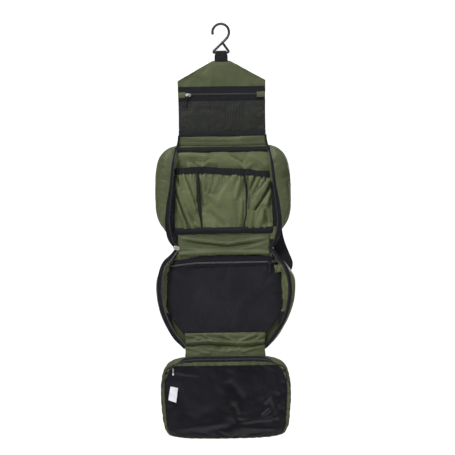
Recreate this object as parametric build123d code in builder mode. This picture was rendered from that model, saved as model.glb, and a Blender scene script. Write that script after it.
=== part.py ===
"""Hanging toiletry bag, open: a hook, a flap, two trays joined by a spine, and a wash pouch.

Millimetres. +Z up, +X right, -Y is the front, which the open trays face.
The origin is the hook's seat: the inside top of its arc, where a rail touches it.
Depths below the seat are written as positive numbers, so a depth d is at Z = -d.
The fold lines of the cloth lie in the plane Y = 0.
"""
from build123d import *
import math
import os

os.makedirs("parts", exist_ok=True)

# ---- driving dimensions ----
CLOTH = 1.0  # a panel of ripstop with its coating
WEBBING = 25.0  # width of the strap and of the hanger loop
WEBBING_THICK = 1.8
ROD = 4.5  # diameter of the hook's rod
HOOK_RADIUS = 15.7  # centreline of the arc
BAR_DEPTH = 52.5  # bar of the hook's triangle
FLAP_TOP = 68.0
FLAP_SHOULDER = 105.5
FLAP_HINGE = 230.0
FLAP_HINGE_Y = -8.0
FLAP_HALF = 82.0
SPINE_TOP = 400.0
SPINE_BOTTOM = 445.0
SPINE_HALF = 84.0
POUCH_HINGE = 617.0
POUCH_HINGE_Y = -13.0
POUCH_BOTTOM = 784.0
UPPER_RIM_Y = -20.0
LOWER_RIM_Y = -22.0
UPPER_HALF = 130.0
LOWER_HALF = 133.0
POUCH_HALF = 121.0
POUCH_FRONT = -21.0
POUCH_BACK = -2.5
TAPE = 2.0  # thickness of a zip's tape with its coil
GAP = 0.4  # air between two pieces that move apart


def at(y):
    """The vertical plane at y; its sketches are in X and Z, and extrude to the front."""
    return Plane.XZ.offset(-y)


def outline(y, corners, radius=0.0):
    """A closed outline through (x, depth) corners, rounded by one radius or one for each."""
    points = [(x, -depth) for x, depth in corners]
    with BuildSketch(at(y)) as shape:
        Polygon(*points, align=None)
        if radius:
            fillet(shape.vertices(), radius)
    return shape.sketch


def mirrored(right_side):
    """Corners of a symmetric outline from those on its right side, top to bottom."""
    return right_side + [(-x, depth) for x, depth in reversed(right_side)]


def band(half, top, bottom):
    return [(half, top), (half, bottom), (-half, bottom), (-half, top)]


def block(x, y, depth):
    """A box from three (low, high) pairs, as a tool or a plain strip."""
    size = (x[1] - x[0], y[1] - y[0], depth[1] - depth[0])
    middle = ((x[0] + x[1]) / 2, (y[0] + y[1]) / 2, -(depth[0] + depth[1]) / 2)
    return Location(middle) * Box(*size, mode=Mode.PRIVATE)


def save(builder, label):
    builder.part.label = label
    export_step(builder.part, f"parts/{label}.step")


# ---- hook: a round rod bent to an open arc above a triangle ----
ARC_DEPTH = HOOK_RADIUS - ROD / 2
BAR_HALF = 14.0
CROSSING = (3.0, -33.5)

with BuildPart() as hook:
    with BuildLine(Plane(origin=(0, 0, -ARC_DEPTH), x_dir=(1, 0, 0), z_dir=(0, -1, 0))):
        arc = CenterArc((0, 0), HOOK_RADIUS, 188, -208)
    with BuildSketch(Plane(arc @ 0, z_dir=arc % 0)):
        Circle(ROD / 2)
    sweep(path=arc)
    with Locations(arc @ 0):
        Sphere(ROD / 2)
    end = arc @ 1
    route = [
        (end.X, 0, end.Z),
        (12.4, 0, -24.2),
        (CROSSING[0], 0, CROSSING[1]),
        (-BAR_HALF - 0.5, 0, -BAR_DEPTH + 2.5),
        (-BAR_HALF + 1, 0, -BAR_DEPTH),
        (BAR_HALF - 1, 0, -BAR_DEPTH),
        (BAR_HALF + 0.5, 0, -BAR_DEPTH + 2.5),
        (CROSSING[0], 0, CROSSING[1]),
    ]
    for start, stop in zip(route, route[1:]):
        leg = Edge.make_line(start, stop)
        with BuildSketch(Plane(leg @ 0, z_dir=leg % 0)):
            Circle(ROD / 2)
        sweep(path=leg)
        with Locations(stop):
            Sphere(ROD / 2)
save(hook, "hook")

# ---- webbing loop that carries the flap on the hook's bar ----
LOOP_IN = ROD / 2 + GAP
LOOP_OUT = LOOP_IN + WEBBING_THICK / 2
LOOP_HALF = 9.5  # the webbing bunches between the triangle's legs
TAIL_TOP = BAR_DEPTH + 6
TAIL_END = FLAP_TOP + 4

with BuildPart() as hanger_loop:
    with BuildSketch(Plane.YZ.offset(-LOOP_HALF)):
        with Locations((0, -BAR_DEPTH)):
            Circle(LOOP_OUT)
        with Locations((0, -(BAR_DEPTH + TAIL_END) / 2)):
            Rectangle(WEBBING_THICK, TAIL_END - BAR_DEPTH)
        with Locations((0, -BAR_DEPTH)):
            Circle(LOOP_IN, mode=Mode.SUBTRACT)
    extrude(amount=2 * LOOP_HALF)
    add(block((-WEBBING / 2, WEBBING / 2), (-WEBBING_THICK / 2, WEBBING_THICK / 2), (TAIL_TOP, TAIL_END)))
save(hanger_loop, "hanger_loop")

# ---- flap ----
FLAP_SIDES = [(16.0, FLAP_TOP), (FLAP_HALF + 0.5, FLAP_SHOULDER), (FLAP_HALF, 228.0)]
FLAP_ZIP = 131.5
FLAP_TAPE = (117.0, 145.0)
FLAP_MESH = (145.3, 201.0)
FLAP_BINDING = (201.3, 210.5)
FLAP_FRONT = -1.0  # front face of the flap's lining, which the pocket is sewn on

with BuildPart() as flap_panel:
    extrude(outline(0.9, mirrored(FLAP_SIDES), 1.5), amount=0.9 - FLAP_FRONT)
    slot_half = WEBBING / 2 + 0.1
    add(block((-slot_half, slot_half), (-1, 1), (60, TAIL_END + 0.1)), mode=Mode.SUBTRACT)
save(flap_panel, "flap_panel")

with BuildPart() as flap_zip_tape:
    for top, bottom in ((FLAP_TAPE[0], FLAP_ZIP - 1.6), (FLAP_ZIP + 1.6, FLAP_TAPE[1])):
        extrude(outline(FLAP_FRONT, band(FLAP_HALF, top, bottom)), amount=0.8)
save(flap_zip_tape, "flap_zip_tape")

with BuildPart() as flap_zip_coil:
    extrude(outline(FLAP_FRONT, band(66, FLAP_ZIP - 1.5, FLAP_ZIP + 1.5)), amount=1.6)
save(flap_zip_coil, "flap_zip_coil")

with BuildPart() as flap_zip_tabs:
    for left, right in ((-FLAP_HALF, -68), (68, FLAP_HALF)):
        add(block((left, right), (FLAP_FRONT - 2.2, FLAP_FRONT - 0.9), (128, 137.5)))
save(flap_zip_tabs, "flap_zip_tabs")

with BuildPart() as flap_mesh_pocket:
    extrude(outline(FLAP_FRONT, band(FLAP_HALF - 1, *FLAP_MESH)), amount=1.0)
save(flap_mesh_pocket, "flap_mesh_pocket")

with BuildPart() as flap_pocket_binding:
    extrude(outline(FLAP_FRONT, band(FLAP_HALF, *FLAP_BINDING)), amount=1.6)
save(flap_pocket_binding, "flap_pocket_binding")


def slider(x, depth, y_back, long, wide):
    """The outline of a zip slider's body, lying along its zip."""
    with BuildSketch(at(y_back)) as shape:
        with Locations((x, -depth)):
            SlotOverall(long, wide)
    return shape.sketch


FLAP_SLIDER_X = -62.5

with BuildPart() as flap_zip_slider:
    extrude(slider(FLAP_SLIDER_X, FLAP_ZIP, FLAP_FRONT - 1.8, 10.0, 6.0), amount=2.6)
save(flap_zip_slider, "flap_zip_slider")


def pull(x, top, y_back, length, wide):
    """A pull: a flat tab that hangs below its slider, with rounded ends."""
    with BuildSketch(at(y_back)) as shape:
        with Locations((x, -(top + length / 2))):
            SlotOverall(length, wide, rotation=90)
    return shape.sketch


with BuildPart() as flap_zip_pull:
    extrude(pull(FLAP_SLIDER_X - 3, FLAP_ZIP + 4.5, FLAP_FRONT - 1.9, 20, 3.6), amount=2.4)
save(flap_zip_pull, "flap_zip_pull")

# ---- upper tray, which holds the organiser ----
TRAY_CORNER = 30.0
UPPER_BACK = mirrored([(UPPER_HALF, 229.0), (127.0, 366.0), (100.0, 399.6)])
UPPER_RIM = mirrored([(97.0, 233.0), (105.0, 366.0), (92.0, 399.6)])
UPPER_BACK_Y = (8.0, 1.0)

with BuildPart() as upper_back_panel:
    extrude(
        outline(UPPER_BACK_Y[0], UPPER_BACK, TRAY_CORNER), amount=UPPER_BACK_Y[0] - UPPER_BACK_Y[1]
    )
    fillet(faces().sort_by(Axis.Y)[-1].edges(), 4)
save(upper_back_panel, "upper_back_panel")


def tray_wall(back_outline, rim_outline, y_back, y_rim, thick, corner):
    """A wall that leans in from the back's edge to the zip's rim, as a closed ring."""
    inner_back = offset(outline(y_back, back_outline, corner), -thick)
    inner_rim = offset(outline(y_rim, rim_outline, corner), -thick)
    with BuildPart() as ring:
        loft([outline(y_back, back_outline, corner), outline(y_rim, rim_outline, corner)])
        loft([inner_back, inner_rim], mode=Mode.SUBTRACT)
    return ring.part


def wedge(depth_low, y_low, depth_high, y_high, toward):
    """A cutter in front of the slanted line from (y_low, depth_low) to (y_high, depth_high)."""
    far = 120 * toward
    with BuildPart() as cutter:
        with BuildSketch(Plane.YZ.offset(-200)):
            Polygon(
                (y_low, -depth_low),
                (y_high, -depth_high),
                (y_high, -(depth_high + far)),
                (-60, -(depth_high + far)),
                (-60, -depth_low),
                align=None,
            )
        extrude(amount=400)
    return cutter.part


WALL = 2.0
with BuildPart() as upper_wall:
    add(tray_wall(UPPER_BACK, UPPER_RIM, 0.9, UPPER_RIM_Y + TAPE, WALL, TRAY_CORNER))
    add(block((-96, 96), (-30, 2), (220, 262)), mode=Mode.SUBTRACT)
    add(block((-93, 93), (-30, 2), (380, 402)), mode=Mode.SUBTRACT)
    add(wedge(372, UPPER_RIM_Y, 399.6, -1.5, 1), mode=Mode.SUBTRACT)
save(upper_wall, "upper_wall")

with BuildPart() as upper_zip_tape:
    extrude(outline(UPPER_RIM_Y + TAPE - 0.1, UPPER_RIM, TRAY_CORNER), amount=TAPE - 0.1)
    extrude(
        offset(outline(UPPER_RIM_Y + TAPE + 1, UPPER_RIM, TRAY_CORNER), -6),
        amount=TAPE + 2,
        mode=Mode.SUBTRACT,
    )
    add(block((-90, 90), (-30, 2), (220, 262)), mode=Mode.SUBTRACT)
    add(block((-120, 120), (-30, 2), (371, 402)), mode=Mode.SUBTRACT)
save(upper_zip_tape, "upper_zip_tape")

# ---- organiser: a lining with three gathered pockets ----
LINER = (238.0, 397.0)
LINER_HALF = 92.0
POCKET_TOP = 284.0
ELASTIC = (270.0, 283.6)
POCKET_BOTTOM = 385.0
POCKET_Y = (-7.8, -9.0)
SEAMS = (-90.0, -37.0, 43.0, 91.0)
SEAM_WIDE = 2.0

with BuildPart() as organiser_liner:
    extrude(outline(0.9, band(LINER_HALF, *LINER)), amount=2.1)
save(organiser_liner, "organiser_liner")

with BuildPart() as organiser_top_binding:
    extrude(outline(-1.3, band(LINER_HALF, 232.0, 241.5)), amount=1.6)
    extrude(outline(0.9, band(LINER_HALF, 232.0, 237.8)), amount=2.2)
save(organiser_top_binding, "organiser_top_binding")

pocket_names = ("organiser_pocket_left", "organiser_pocket_middle", "organiser_pocket_right")
for name, left, right in zip(pocket_names, SEAMS, SEAMS[1:]):
    with BuildPart() as pocket:
        add(
            block(
                (left + SEAM_WIDE / 2 + 0.1, right - SEAM_WIDE / 2 - 0.1),
                (POCKET_Y[1], POCKET_Y[0]),
                (POCKET_TOP, POCKET_BOTTOM),
            )
        )
    save(pocket, name)

with BuildPart() as organiser_seams:
    for x in SEAMS:
        edges_x = (x - SEAM_WIDE / 2, x + SEAM_WIDE / 2)
        add(block(edges_x, (POCKET_Y[1], -1.3), (POCKET_TOP, POCKET_BOTTOM)))
save(organiser_seams, "organiser_seams")

with BuildPart() as organiser_elastic:
    for left, right in zip(SEAMS, SEAMS[1:]):
        add(block((left + 1.2, right - 1.2), (-9.2, -7.8), ELASTIC))
save(organiser_elastic, "organiser_elastic")

with BuildPart() as organiser_bottom_binding:
    extrude(outline(-1.3, band(LINER_HALF, POCKET_BOTTOM + 0.2, 396.5)), amount=7.9)
save(organiser_bottom_binding, "organiser_bottom_binding")

# ---- spine: the cloth that joins the two trays, with the zip's ends and its sliders ----
with BuildPart() as spine_gusset:
    extrude(outline(0.5, band(SPINE_HALF, SPINE_TOP + GAP, SPINE_BOTTOM - GAP)), amount=CLOTH)
save(spine_gusset, "spine_gusset")

ZIP_END = (404.0, 441.0)
with BuildPart() as spine_zip_ends:
    for left, right in ((-94, -84.2), (84.2, 94)):
        add(block((left, right), (-1.0, 1.0), ZIP_END))
save(spine_zip_ends, "spine_zip_ends")

MAIN_SLIDER = (12.0, 7.5, 3.0)
SPINE_MID = (SPINE_TOP + SPINE_BOTTOM) / 2
sides = (("left", -90.0), ("right", 89.0))
for side, x in sides:
    with BuildPart() as main_slider:
        with BuildSketch(at(-1.1)):
            with Locations((x, -SPINE_MID)):
                SlotOverall(MAIN_SLIDER[0], MAIN_SLIDER[1], rotation=90)
        extrude(amount=MAIN_SLIDER[2])
    save(main_slider, f"main_slider_{side}")
    with BuildPart() as main_pull:
        extrude(pull(x, SPINE_MID + 2, 3.4, 17, 5.0), amount=1.5)
    save(main_pull, f"main_pull_{side}")

# ---- lower tray, which holds the mesh pocket ----
LOWER_BACK = mirrored(
    [(100.0, 445.4), (LOWER_HALF, 474.0), (LOWER_HALF - 1, 542.0), (72.0, 622.0)]
)
LOWER_RIM = mirrored([(98.0, 445.4), (128.0, 476.0), (127.0, 536.0), (68.0, 614.0)])
LOWER_BACK_Y = (10.0, 5.0)

with BuildPart() as lower_back_panel:
    extrude(
        outline(LOWER_BACK_Y[0], LOWER_BACK, TRAY_CORNER), amount=LOWER_BACK_Y[0] - LOWER_BACK_Y[1]
    )
    fillet(faces().sort_by(Axis.Y)[-1].edges(), 3)
save(lower_back_panel, "lower_back_panel")

with BuildPart() as lower_wall:
    add(tray_wall(LOWER_BACK, LOWER_RIM, 4.9, LOWER_RIM_Y + TAPE, WALL, TRAY_CORNER))
    add(block((-90, 90), (-30, 3.4), (440, 475)), mode=Mode.SUBTRACT)
    add(wedge(520, LOWER_RIM_Y, 536, 1.5, 1), mode=Mode.SUBTRACT)
    add(block((-140, 140), (-30, -1.5), (430, 464)), mode=Mode.SUBTRACT)
    add(block((-78, 78), (-30, 3.4), (590, 630)), mode=Mode.SUBTRACT)
save(lower_wall, "lower_wall")

with BuildPart() as lower_zip_tape:
    extrude(outline(LOWER_RIM_Y + TAPE - 0.1, LOWER_RIM, TRAY_CORNER), amount=TAPE - 0.1)
    extrude(
        offset(outline(LOWER_RIM_Y + TAPE + 1, LOWER_RIM, TRAY_CORNER), -5),
        amount=TAPE + 2,
        mode=Mode.SUBTRACT,
    )
    add(block((-140, 140), (-30, 2), (430, 476)), mode=Mode.SUBTRACT)
    add(block((-140, 140), (-30, 2), (519, 630)), mode=Mode.SUBTRACT)
save(lower_zip_tape, "lower_zip_tape")

MESH_Y = (-0.6, -1.6)
MESH_TOP = 455.5
MESH_COIL = (451.5, 455.0)
with BuildPart() as mesh_pocket_panel:
    sides_of_mesh = [(108.0, MESH_TOP), (114.0, 480.0), (114.0, 528.0), (74.0, 586.0)]
    extrude(outline(MESH_Y[0], mirrored(sides_of_mesh), 6), amount=1.0)
save(mesh_pocket_panel, "mesh_pocket_panel")

with BuildPart() as mesh_pocket_zip_tape:
    extrude(outline(MESH_Y[0] + 2, band(88, 446.5, 451.2)), amount=3.0)
save(mesh_pocket_zip_tape, "mesh_pocket_zip_tape")

with BuildPart() as mesh_pocket_zip_coil:
    extrude(outline(MESH_Y[0], band(94, *MESH_COIL)), amount=1.4)
save(mesh_pocket_zip_coil, "mesh_pocket_zip_coil")

with BuildPart() as mesh_zip_end_tab:
    add(block((96.5, 108), (-4.4, -2.0), (459, 470)))
save(mesh_zip_end_tab, "mesh_zip_end_tab")

MESH_SLIDER_X = 86.0
MESH_COIL_MID = (MESH_COIL[0] + MESH_COIL[1]) / 2
with BuildPart() as mesh_pocket_slider:
    extrude(slider(MESH_SLIDER_X, MESH_COIL_MID, MESH_Y[0] - 1.6, 9.0, 5.5), amount=1.8)
save(mesh_pocket_slider, "mesh_pocket_slider")

with BuildPart() as mesh_pocket_pull:
    extrude(pull(MESH_SLIDER_X, MESH_COIL_MID + 3.9, MESH_Y[0] - 1.7, 16, 4.0), amount=1.4)
save(mesh_pocket_pull, "mesh_pocket_pull")

with BuildPart() as lower_band:
    extrude(outline(0.8, band(74, 586.6, POUCH_HINGE - 1.2)), amount=CLOTH)
save(lower_band, "lower_band")

with BuildPart() as lower_lining:
    extrude(outline(4.8, band(70, 586.8, 612)), amount=3.6)
save(lower_lining, "lower_lining")

# ---- carry strap: a flat loop sewn on the upper tray's back ----
STRAP_Y = 12.0
STRAP_TOP = 388.0
STRAP_ROUTE = [(98.0, STRAP_TOP), (104.0, 414.0), (121.0, 461.0), (98.0, 489.0), (64.0, 470.0), (56.0, STRAP_TOP)]


def strap_run(points, y, wide):
    """A flat strap of even width along points in a vertical plane."""
    with BuildSketch(at(y)) as shape:
        for a, b in zip(points, points[1:]):
            run = Vector(b[0] - a[0], -(b[1] - a[1]))
            middle = ((a[0] + b[0]) / 2, -(a[1] + b[1]) / 2)
            with Locations(middle):
                Rectangle(run.length, wide, rotation=math.degrees(math.atan2(run.Y, run.X)))
        with Locations([(x, -depth) for x, depth in points[1:-1]]):
            Circle(wide / 2)
    return shape.sketch


with BuildPart() as carry_strap:
    extrude(strap_run(STRAP_ROUTE, STRAP_Y + WEBBING_THICK, WEBBING), amount=WEBBING_THICK)
save(carry_strap, "carry_strap")

with BuildPart() as strap_anchors:
    for x, _ in (STRAP_ROUTE[0], STRAP_ROUTE[-1]):
        add(block((x - WEBBING / 2, x + WEBBING / 2), (8.2, 10.4), (352, 384)))
save(strap_anchors, "strap_anchors")

# ---- wash pouch ----
POUCH_SIDES = [(75.0, 628.0), (POUCH_HALF - 3, 648.0), (POUCH_HALF, 705.0), (112.0, POUCH_BOTTOM)]
POUCH_CORNER = 24
WINDOW_CORNER = 12
FRAME_IN = [(100.0, 646.0), (112.5, 662.0), (113.5, 705.0), (104.0, 778.0)]

with BuildPart() as pouch_back:
    extrude(outline(POUCH_BACK, mirrored(POUCH_SIDES), POUCH_CORNER), amount=1.2)
save(pouch_back, "pouch_back")

with BuildPart() as pouch_wall:
    depth_of_wall = POUCH_BACK - 1.3 - (POUCH_FRONT + 1.6)
    extrude(
        outline(POUCH_BACK - 1.3, mirrored(POUCH_SIDES), POUCH_CORNER), amount=depth_of_wall
    )
    extrude(
        offset(outline(POUCH_BACK, mirrored(POUCH_SIDES), POUCH_CORNER), -1.6),
        amount=30,
        mode=Mode.SUBTRACT,
    )
save(pouch_wall, "pouch_wall")

with BuildPart() as pouch_front_frame:
    extrude(outline(POUCH_FRONT + 1.5, mirrored(POUCH_SIDES), POUCH_CORNER), amount=1.4)
    extrude(
        outline(POUCH_FRONT + 3, mirrored(FRAME_IN), WINDOW_CORNER), amount=6, mode=Mode.SUBTRACT
    )
save(pouch_front_frame, "pouch_front_frame")

with BuildPart() as pouch_window:
    extrude(
        offset(outline(POUCH_FRONT + 1.2, mirrored(FRAME_IN), WINDOW_CORNER), -0.2), amount=0.5
    )
save(pouch_window, "pouch_window")

with BuildPart() as pouch_lining:
    extrude(outline(POUCH_BACK - 1.4, mirrored(FRAME_IN), WINDOW_CORNER), amount=0.8)
save(pouch_lining, "pouch_lining")

with BuildPart() as care_label:
    label_corners = [(-103, 683), (-89.5, 686), (-93.5, 714), (-107, 708)]
    extrude(outline(POUCH_FRONT + 2.6, label_corners), amount=0.5)
save(care_label, "care_label")

POUCH_SLIDER = (-99.0, 650.0)
with BuildPart() as pouch_slider:
    extrude(slider(*POUCH_SLIDER, POUCH_FRONT - 0.1, 9.0, 5.5), amount=1.8)
save(pouch_slider, "pouch_slider")

with BuildPart() as pouch_pull:
    extrude(pull(POUCH_SLIDER[0], POUCH_SLIDER[1] + 3.9, POUCH_FRONT - 0.3, 14, 4.0), amount=1.4)
save(pouch_pull, "pouch_pull")

with BuildPart() as pouch_tab:
    extrude(outline(POUCH_HINGE_Y + 0.5, band(74, POUCH_HINGE + 1.2, 627.7)), amount=CLOTH)
save(pouch_tab, "pouch_tab")
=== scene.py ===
"""The looks of the hanging toiletry bag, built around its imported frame. Metres, +Z up, -Y to the front."""
import math

import bmesh
import bpy
from mathutils import Matrix, Vector, noise


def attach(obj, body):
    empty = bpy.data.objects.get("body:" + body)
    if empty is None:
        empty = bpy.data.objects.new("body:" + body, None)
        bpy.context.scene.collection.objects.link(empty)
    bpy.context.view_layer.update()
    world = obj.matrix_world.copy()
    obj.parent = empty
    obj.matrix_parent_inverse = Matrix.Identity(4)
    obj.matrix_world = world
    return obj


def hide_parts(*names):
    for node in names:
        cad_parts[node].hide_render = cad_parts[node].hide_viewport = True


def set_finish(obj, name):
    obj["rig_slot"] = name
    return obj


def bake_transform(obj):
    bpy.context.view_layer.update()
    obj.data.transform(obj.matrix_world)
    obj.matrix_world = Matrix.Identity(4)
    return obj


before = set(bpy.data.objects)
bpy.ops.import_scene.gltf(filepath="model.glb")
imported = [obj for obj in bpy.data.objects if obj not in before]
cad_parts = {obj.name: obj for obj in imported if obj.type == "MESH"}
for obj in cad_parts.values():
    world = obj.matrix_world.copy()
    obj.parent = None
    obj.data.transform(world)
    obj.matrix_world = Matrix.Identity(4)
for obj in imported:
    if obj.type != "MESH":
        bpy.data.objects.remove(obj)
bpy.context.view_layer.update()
MM = 0.001

# Places are written in millimetres as (x, y, depth below the hook's seat), as the CAD part has them.
BAR = 52.5
FLAP_TOP, FLAP_SHOULDER, FLAP_HALF = 68.0, 105.5, 82.5
FLAP_ZIP = 131.5
SPINE_MID, SPINE_HALF = 422.5, 84.0
SIDES = ((-1, "left"), (1, "right"))
CLOTH_FRAMES = 16


def metres(point):
    x, y, depth = point
    return Vector((x * MM, y * MM, -depth * MM))


# ---- materials
GRID = 0.0042  # between the raised threads of the ripstop cloth


class Nodes:
    """Short calls to build one material's node tree."""

    def __init__(self, name):
        self.material = bpy.data.materials.new(name)
        self.material.use_nodes = True
        self.tree = self.material.node_tree
        self.shader = self.tree.nodes["Principled BSDF"]
        coordinates = self.tree.nodes.new("ShaderNodeTexCoord")
        self.place = coordinates.outputs["Object"]

    def feed(self, socket, value):
        """Sets a socket to a number or a colour, or links it to another socket."""
        if isinstance(value, tuple):
            socket.default_value = (*value, 1)
        elif isinstance(value, (int, float)):
            socket.default_value = value
        else:
            self.tree.links.new(value, socket)

    def node(self, kind, links=(), **settings):
        made = self.tree.nodes.new(kind)
        for key, value in settings.items():
            if hasattr(made, key):
                setattr(made, key, value)
            else:
                made.inputs[key].default_value = value
        for socket, source in dict(links).items():
            self.tree.links.new(source, made.inputs[socket])
        return made

    def noise(self, scale, detail=3.0):
        made = self.node("ShaderNodeTexNoise", {"Vector": self.place}, Scale=scale, Detail=detail)
        return made.outputs["Fac"]

    def maths(self, operation, a, b=None):
        made = self.tree.nodes.new("ShaderNodeMath")
        made.operation = operation
        for socket, value in zip(made.inputs, (a,) if b is None else (a, b)):
            self.feed(socket, value)
        return made.outputs[0]

    def ramp(self, source, low, high, colours):
        made = self.tree.nodes.new("ShaderNodeValToRGB")
        self.tree.links.new(source, made.inputs[0])
        for element, at, colour in zip(made.color_ramp.elements, (low, high), colours):
            element.position = at
            element.color = (*colour, 1)
        return made.outputs[0]

    def mix(self, factor, a, b):
        made = self.tree.nodes.new("ShaderNodeMix")
        made.data_type = "RGBA"
        for index, value in ((0, factor), (6, a), (7, b)):
            self.feed(made.inputs[index], value)
        return made.outputs[2]

    def flat_weave(self):
        """Coordinates that run across a hung cloth and down it, whichever way the cloth faces."""
        split = self.node("ShaderNodeSeparateXYZ", {"Vector": self.place})
        across = self.maths("ADD", split.outputs["X"], split.outputs["Y"])
        return across, split.outputs["Z"]

    def threads(self, pitch, a, b):
        """A plain weave's height, from 0 to 1, with threads a pitch apart along a and b."""
        waves = [
            self.maths("SINE", self.maths("MULTIPLY", axis, 2 * math.pi / pitch))
            for axis in (a, b)
        ]
        product = self.maths("MULTIPLY", waves[0], waves[1])
        return self.maths("ADD", self.maths("MULTIPLY", product, 0.5), 0.5)

    def lines(self, pitch, width, axis):
        """1 on thin lines a pitch apart, 0 between them."""
        phase = self.maths("FRACT", self.maths("DIVIDE", axis, pitch))
        return self.maths("LESS_THAN", phase, width / pitch)

    def bump(self, height, strength, distance):
        made = self.node("ShaderNodeBump", {"Height": height}, Strength=strength, Distance=distance)
        self.tree.links.new(made.outputs[0], self.shader.inputs["Normal"])

    def done(self, colour, roughness, **fixed):
        self.feed(self.shader.inputs["Base Color"], colour)
        self.feed(self.shader.inputs["Roughness"], roughness)
        for key, value in fixed.items():
            self.shader.inputs[key.replace("_", " ")].default_value = value
        return self.material


def ripstop(name, dark, light):
    """Coated nylon with a raised thread every few millimetres and patches of soft sheen."""
    n = Nodes(name)
    across, down = n.flat_weave()
    grid = n.maths("MAXIMUM", n.lines(GRID, 0.0007, across), n.lines(GRID, 0.0007, down))
    broad = n.ramp(n.noise(22.0, 4.0), 0.3, 0.72, (dark, light))
    lifted = n.mix(n.maths("MULTIPLY", grid, 0.22), broad, tuple(min(1, c * 1.55) for c in light))
    weave = n.threads(0.0009, across, down)
    height = n.maths("ADD", n.maths("MULTIPLY", weave, 0.25), n.maths("MULTIPLY", grid, 0.8))
    n.bump(height, 0.55, 0.00022)
    rough = n.maths("ADD", n.maths("MULTIPLY", n.noise(60.0), 0.16), 0.46)
    return n.done(lifted, rough, Sheen_Weight=0.05, Sheen_Roughness=0.4, Specular_IOR_Level=0.34)


def woven_black(name, tone, ribs=0.0011, along="across"):
    """Black webbing or tape with ribs across it."""
    n = Nodes(name)
    across, down = n.flat_weave()
    axis = across if along == "across" else down
    wave = n.maths("SINE", n.maths("MULTIPLY", axis, 2 * math.pi / ribs))
    rib = n.maths("ADD", n.maths("MULTIPLY", wave, 0.5), 0.5)
    weave = n.threads(ribs * 0.8, across, down)
    height = n.maths("ADD", rib, n.maths("MULTIPLY", weave, 0.6))
    n.bump(height, 0.7, 0.0003)
    bright = tuple(c * 1.9 for c in tone)
    worn = n.maths("MULTIPLY", n.maths("MULTIPLY", height, n.noise(90.0)), 0.7)
    colour = n.mix(worn, tone, bright)
    return n.done(colour, 0.68, Sheen_Weight=0.02, Sheen_Roughness=0.4, Specular_IOR_Level=0.2)


def mesh_cloth(name, thread, behind, cell=0.0021):
    """Knitted mesh: dark threads round small holes that show the cloth behind."""
    n = Nodes(name)
    across, down = n.flat_weave()
    vector = n.node("ShaderNodeCombineXYZ", {"X": across, "Y": down})
    cells = n.node(
        "ShaderNodeTexVoronoi", {"Vector": vector.outputs[0]}, Scale=1 / cell, Randomness=0.12,
        feature="DISTANCE_TO_EDGE",
    ).outputs["Distance"]
    hole = n.maths("GREATER_THAN", cells, 0.17)
    shades = [tuple(c * share for c in behind) for share in (0.45, 1.15)]
    patches = n.ramp(n.noise(16.0, 3.0), 0.35, 0.7, shades)
    grid = n.maths("MAXIMUM", n.lines(GRID, 0.0008, across), n.lines(GRID, 0.0008, down))
    backing = n.mix(n.maths("MULTIPLY", grid, 0.4), patches, tuple(c * 2.2 for c in behind))
    colour = n.mix(hole, thread, backing)
    dip = n.maths("MINIMUM", n.maths("MULTIPLY", cells, 3.0), 1.0)
    n.bump(n.maths("SUBTRACT", 1.0, dip), 0.8, 0.0004)
    return n.done(colour, 0.62, Sheen_Weight=0.02, Specular_IOR_Level=0.16)


def moulded(name, tone, rough, metallic=0.0):
    """Plastic or metal with a fine grain and slightly worn patches."""
    n = Nodes(name)
    n.bump(n.noise(1800.0, 2.0), 0.35, 0.00005)
    worn = n.ramp(n.noise(120.0, 4.0), 0.4, 0.75, (tone, tuple(min(1, c * 1.35) for c in tone)))
    roughness = n.maths("ADD", n.maths("MULTIPLY", n.noise(300.0), 0.18), rough - 0.09)
    return n.done(worn, roughness, Metallic=metallic)


def glossy_film(name):
    """Black lining under a thin clear film: dark, with a coat that catches the light in its creases."""
    n = Nodes(name)
    across, down = n.flat_weave()
    colour = n.ramp(n.noise(14.0, 4.0), 0.35, 0.75, ((0.005, 0.0045, 0.007), (0.010, 0.009, 0.0135)))
    creases = n.noise(38.0, 5.0)
    weave = n.maths("MULTIPLY", n.threads(0.0011, across, down), 0.03)
    n.bump(n.maths("ADD", creases, weave), 0.5, 0.002)
    rough = n.maths("ADD", n.maths("MULTIPLY", n.noise(30.0), 0.16), 0.30)
    return n.done(colour, rough, Coat_Weight=0.15, Coat_Roughness=0.16, Specular_IOR_Level=0.2)


GREEN = ripstop("ripstop", (0.050, 0.061, 0.0245), (0.078, 0.092, 0.041))
GREEN_LINING = ripstop("ripstop_lining", (0.070, 0.085, 0.034), (0.112, 0.130, 0.057))
BLACK_WEB = woven_black("webbing", (0.0085, 0.008, 0.011), 0.0015)
BLACK_TAPE = woven_black("zip_tape", (0.0075, 0.007, 0.010), 0.0008)
BLACK_BIND = woven_black("binding", (0.0075, 0.0075, 0.0095), 0.0010, "down")
ELASTIC = woven_black("elastic", (0.008, 0.0075, 0.010), 0.0013)
FLAP_MESH = mesh_cloth("flap_mesh", (0.008, 0.008, 0.009), (0.034, 0.038, 0.029))
TRAY_MESH = mesh_cloth("tray_mesh", (0.006, 0.006, 0.009), (0.017, 0.017, 0.023))
COIL = moulded("coil", (0.045, 0.045, 0.05), 0.42)
HOOK = moulded("hook_plastic", (0.016, 0.016, 0.019), 0.40)
SILVER = moulded("slider_metal", (0.62, 0.62, 0.60), 0.30, metallic=1.0)
BLACKENED = moulded("blackened_metal", (0.022, 0.022, 0.024), 0.36, metallic=0.6)
DARK_COIL = moulded("dark_coil", (0.012, 0.012, 0.014), 0.5)
NICKEL = moulded("main_slider_metal", (0.42, 0.37, 0.33), 0.42, metallic=0.35)
FILM = glossy_film("clear_film")
LABEL = woven_black("label", (0.70, 0.69, 0.74), 0.0009)

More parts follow.
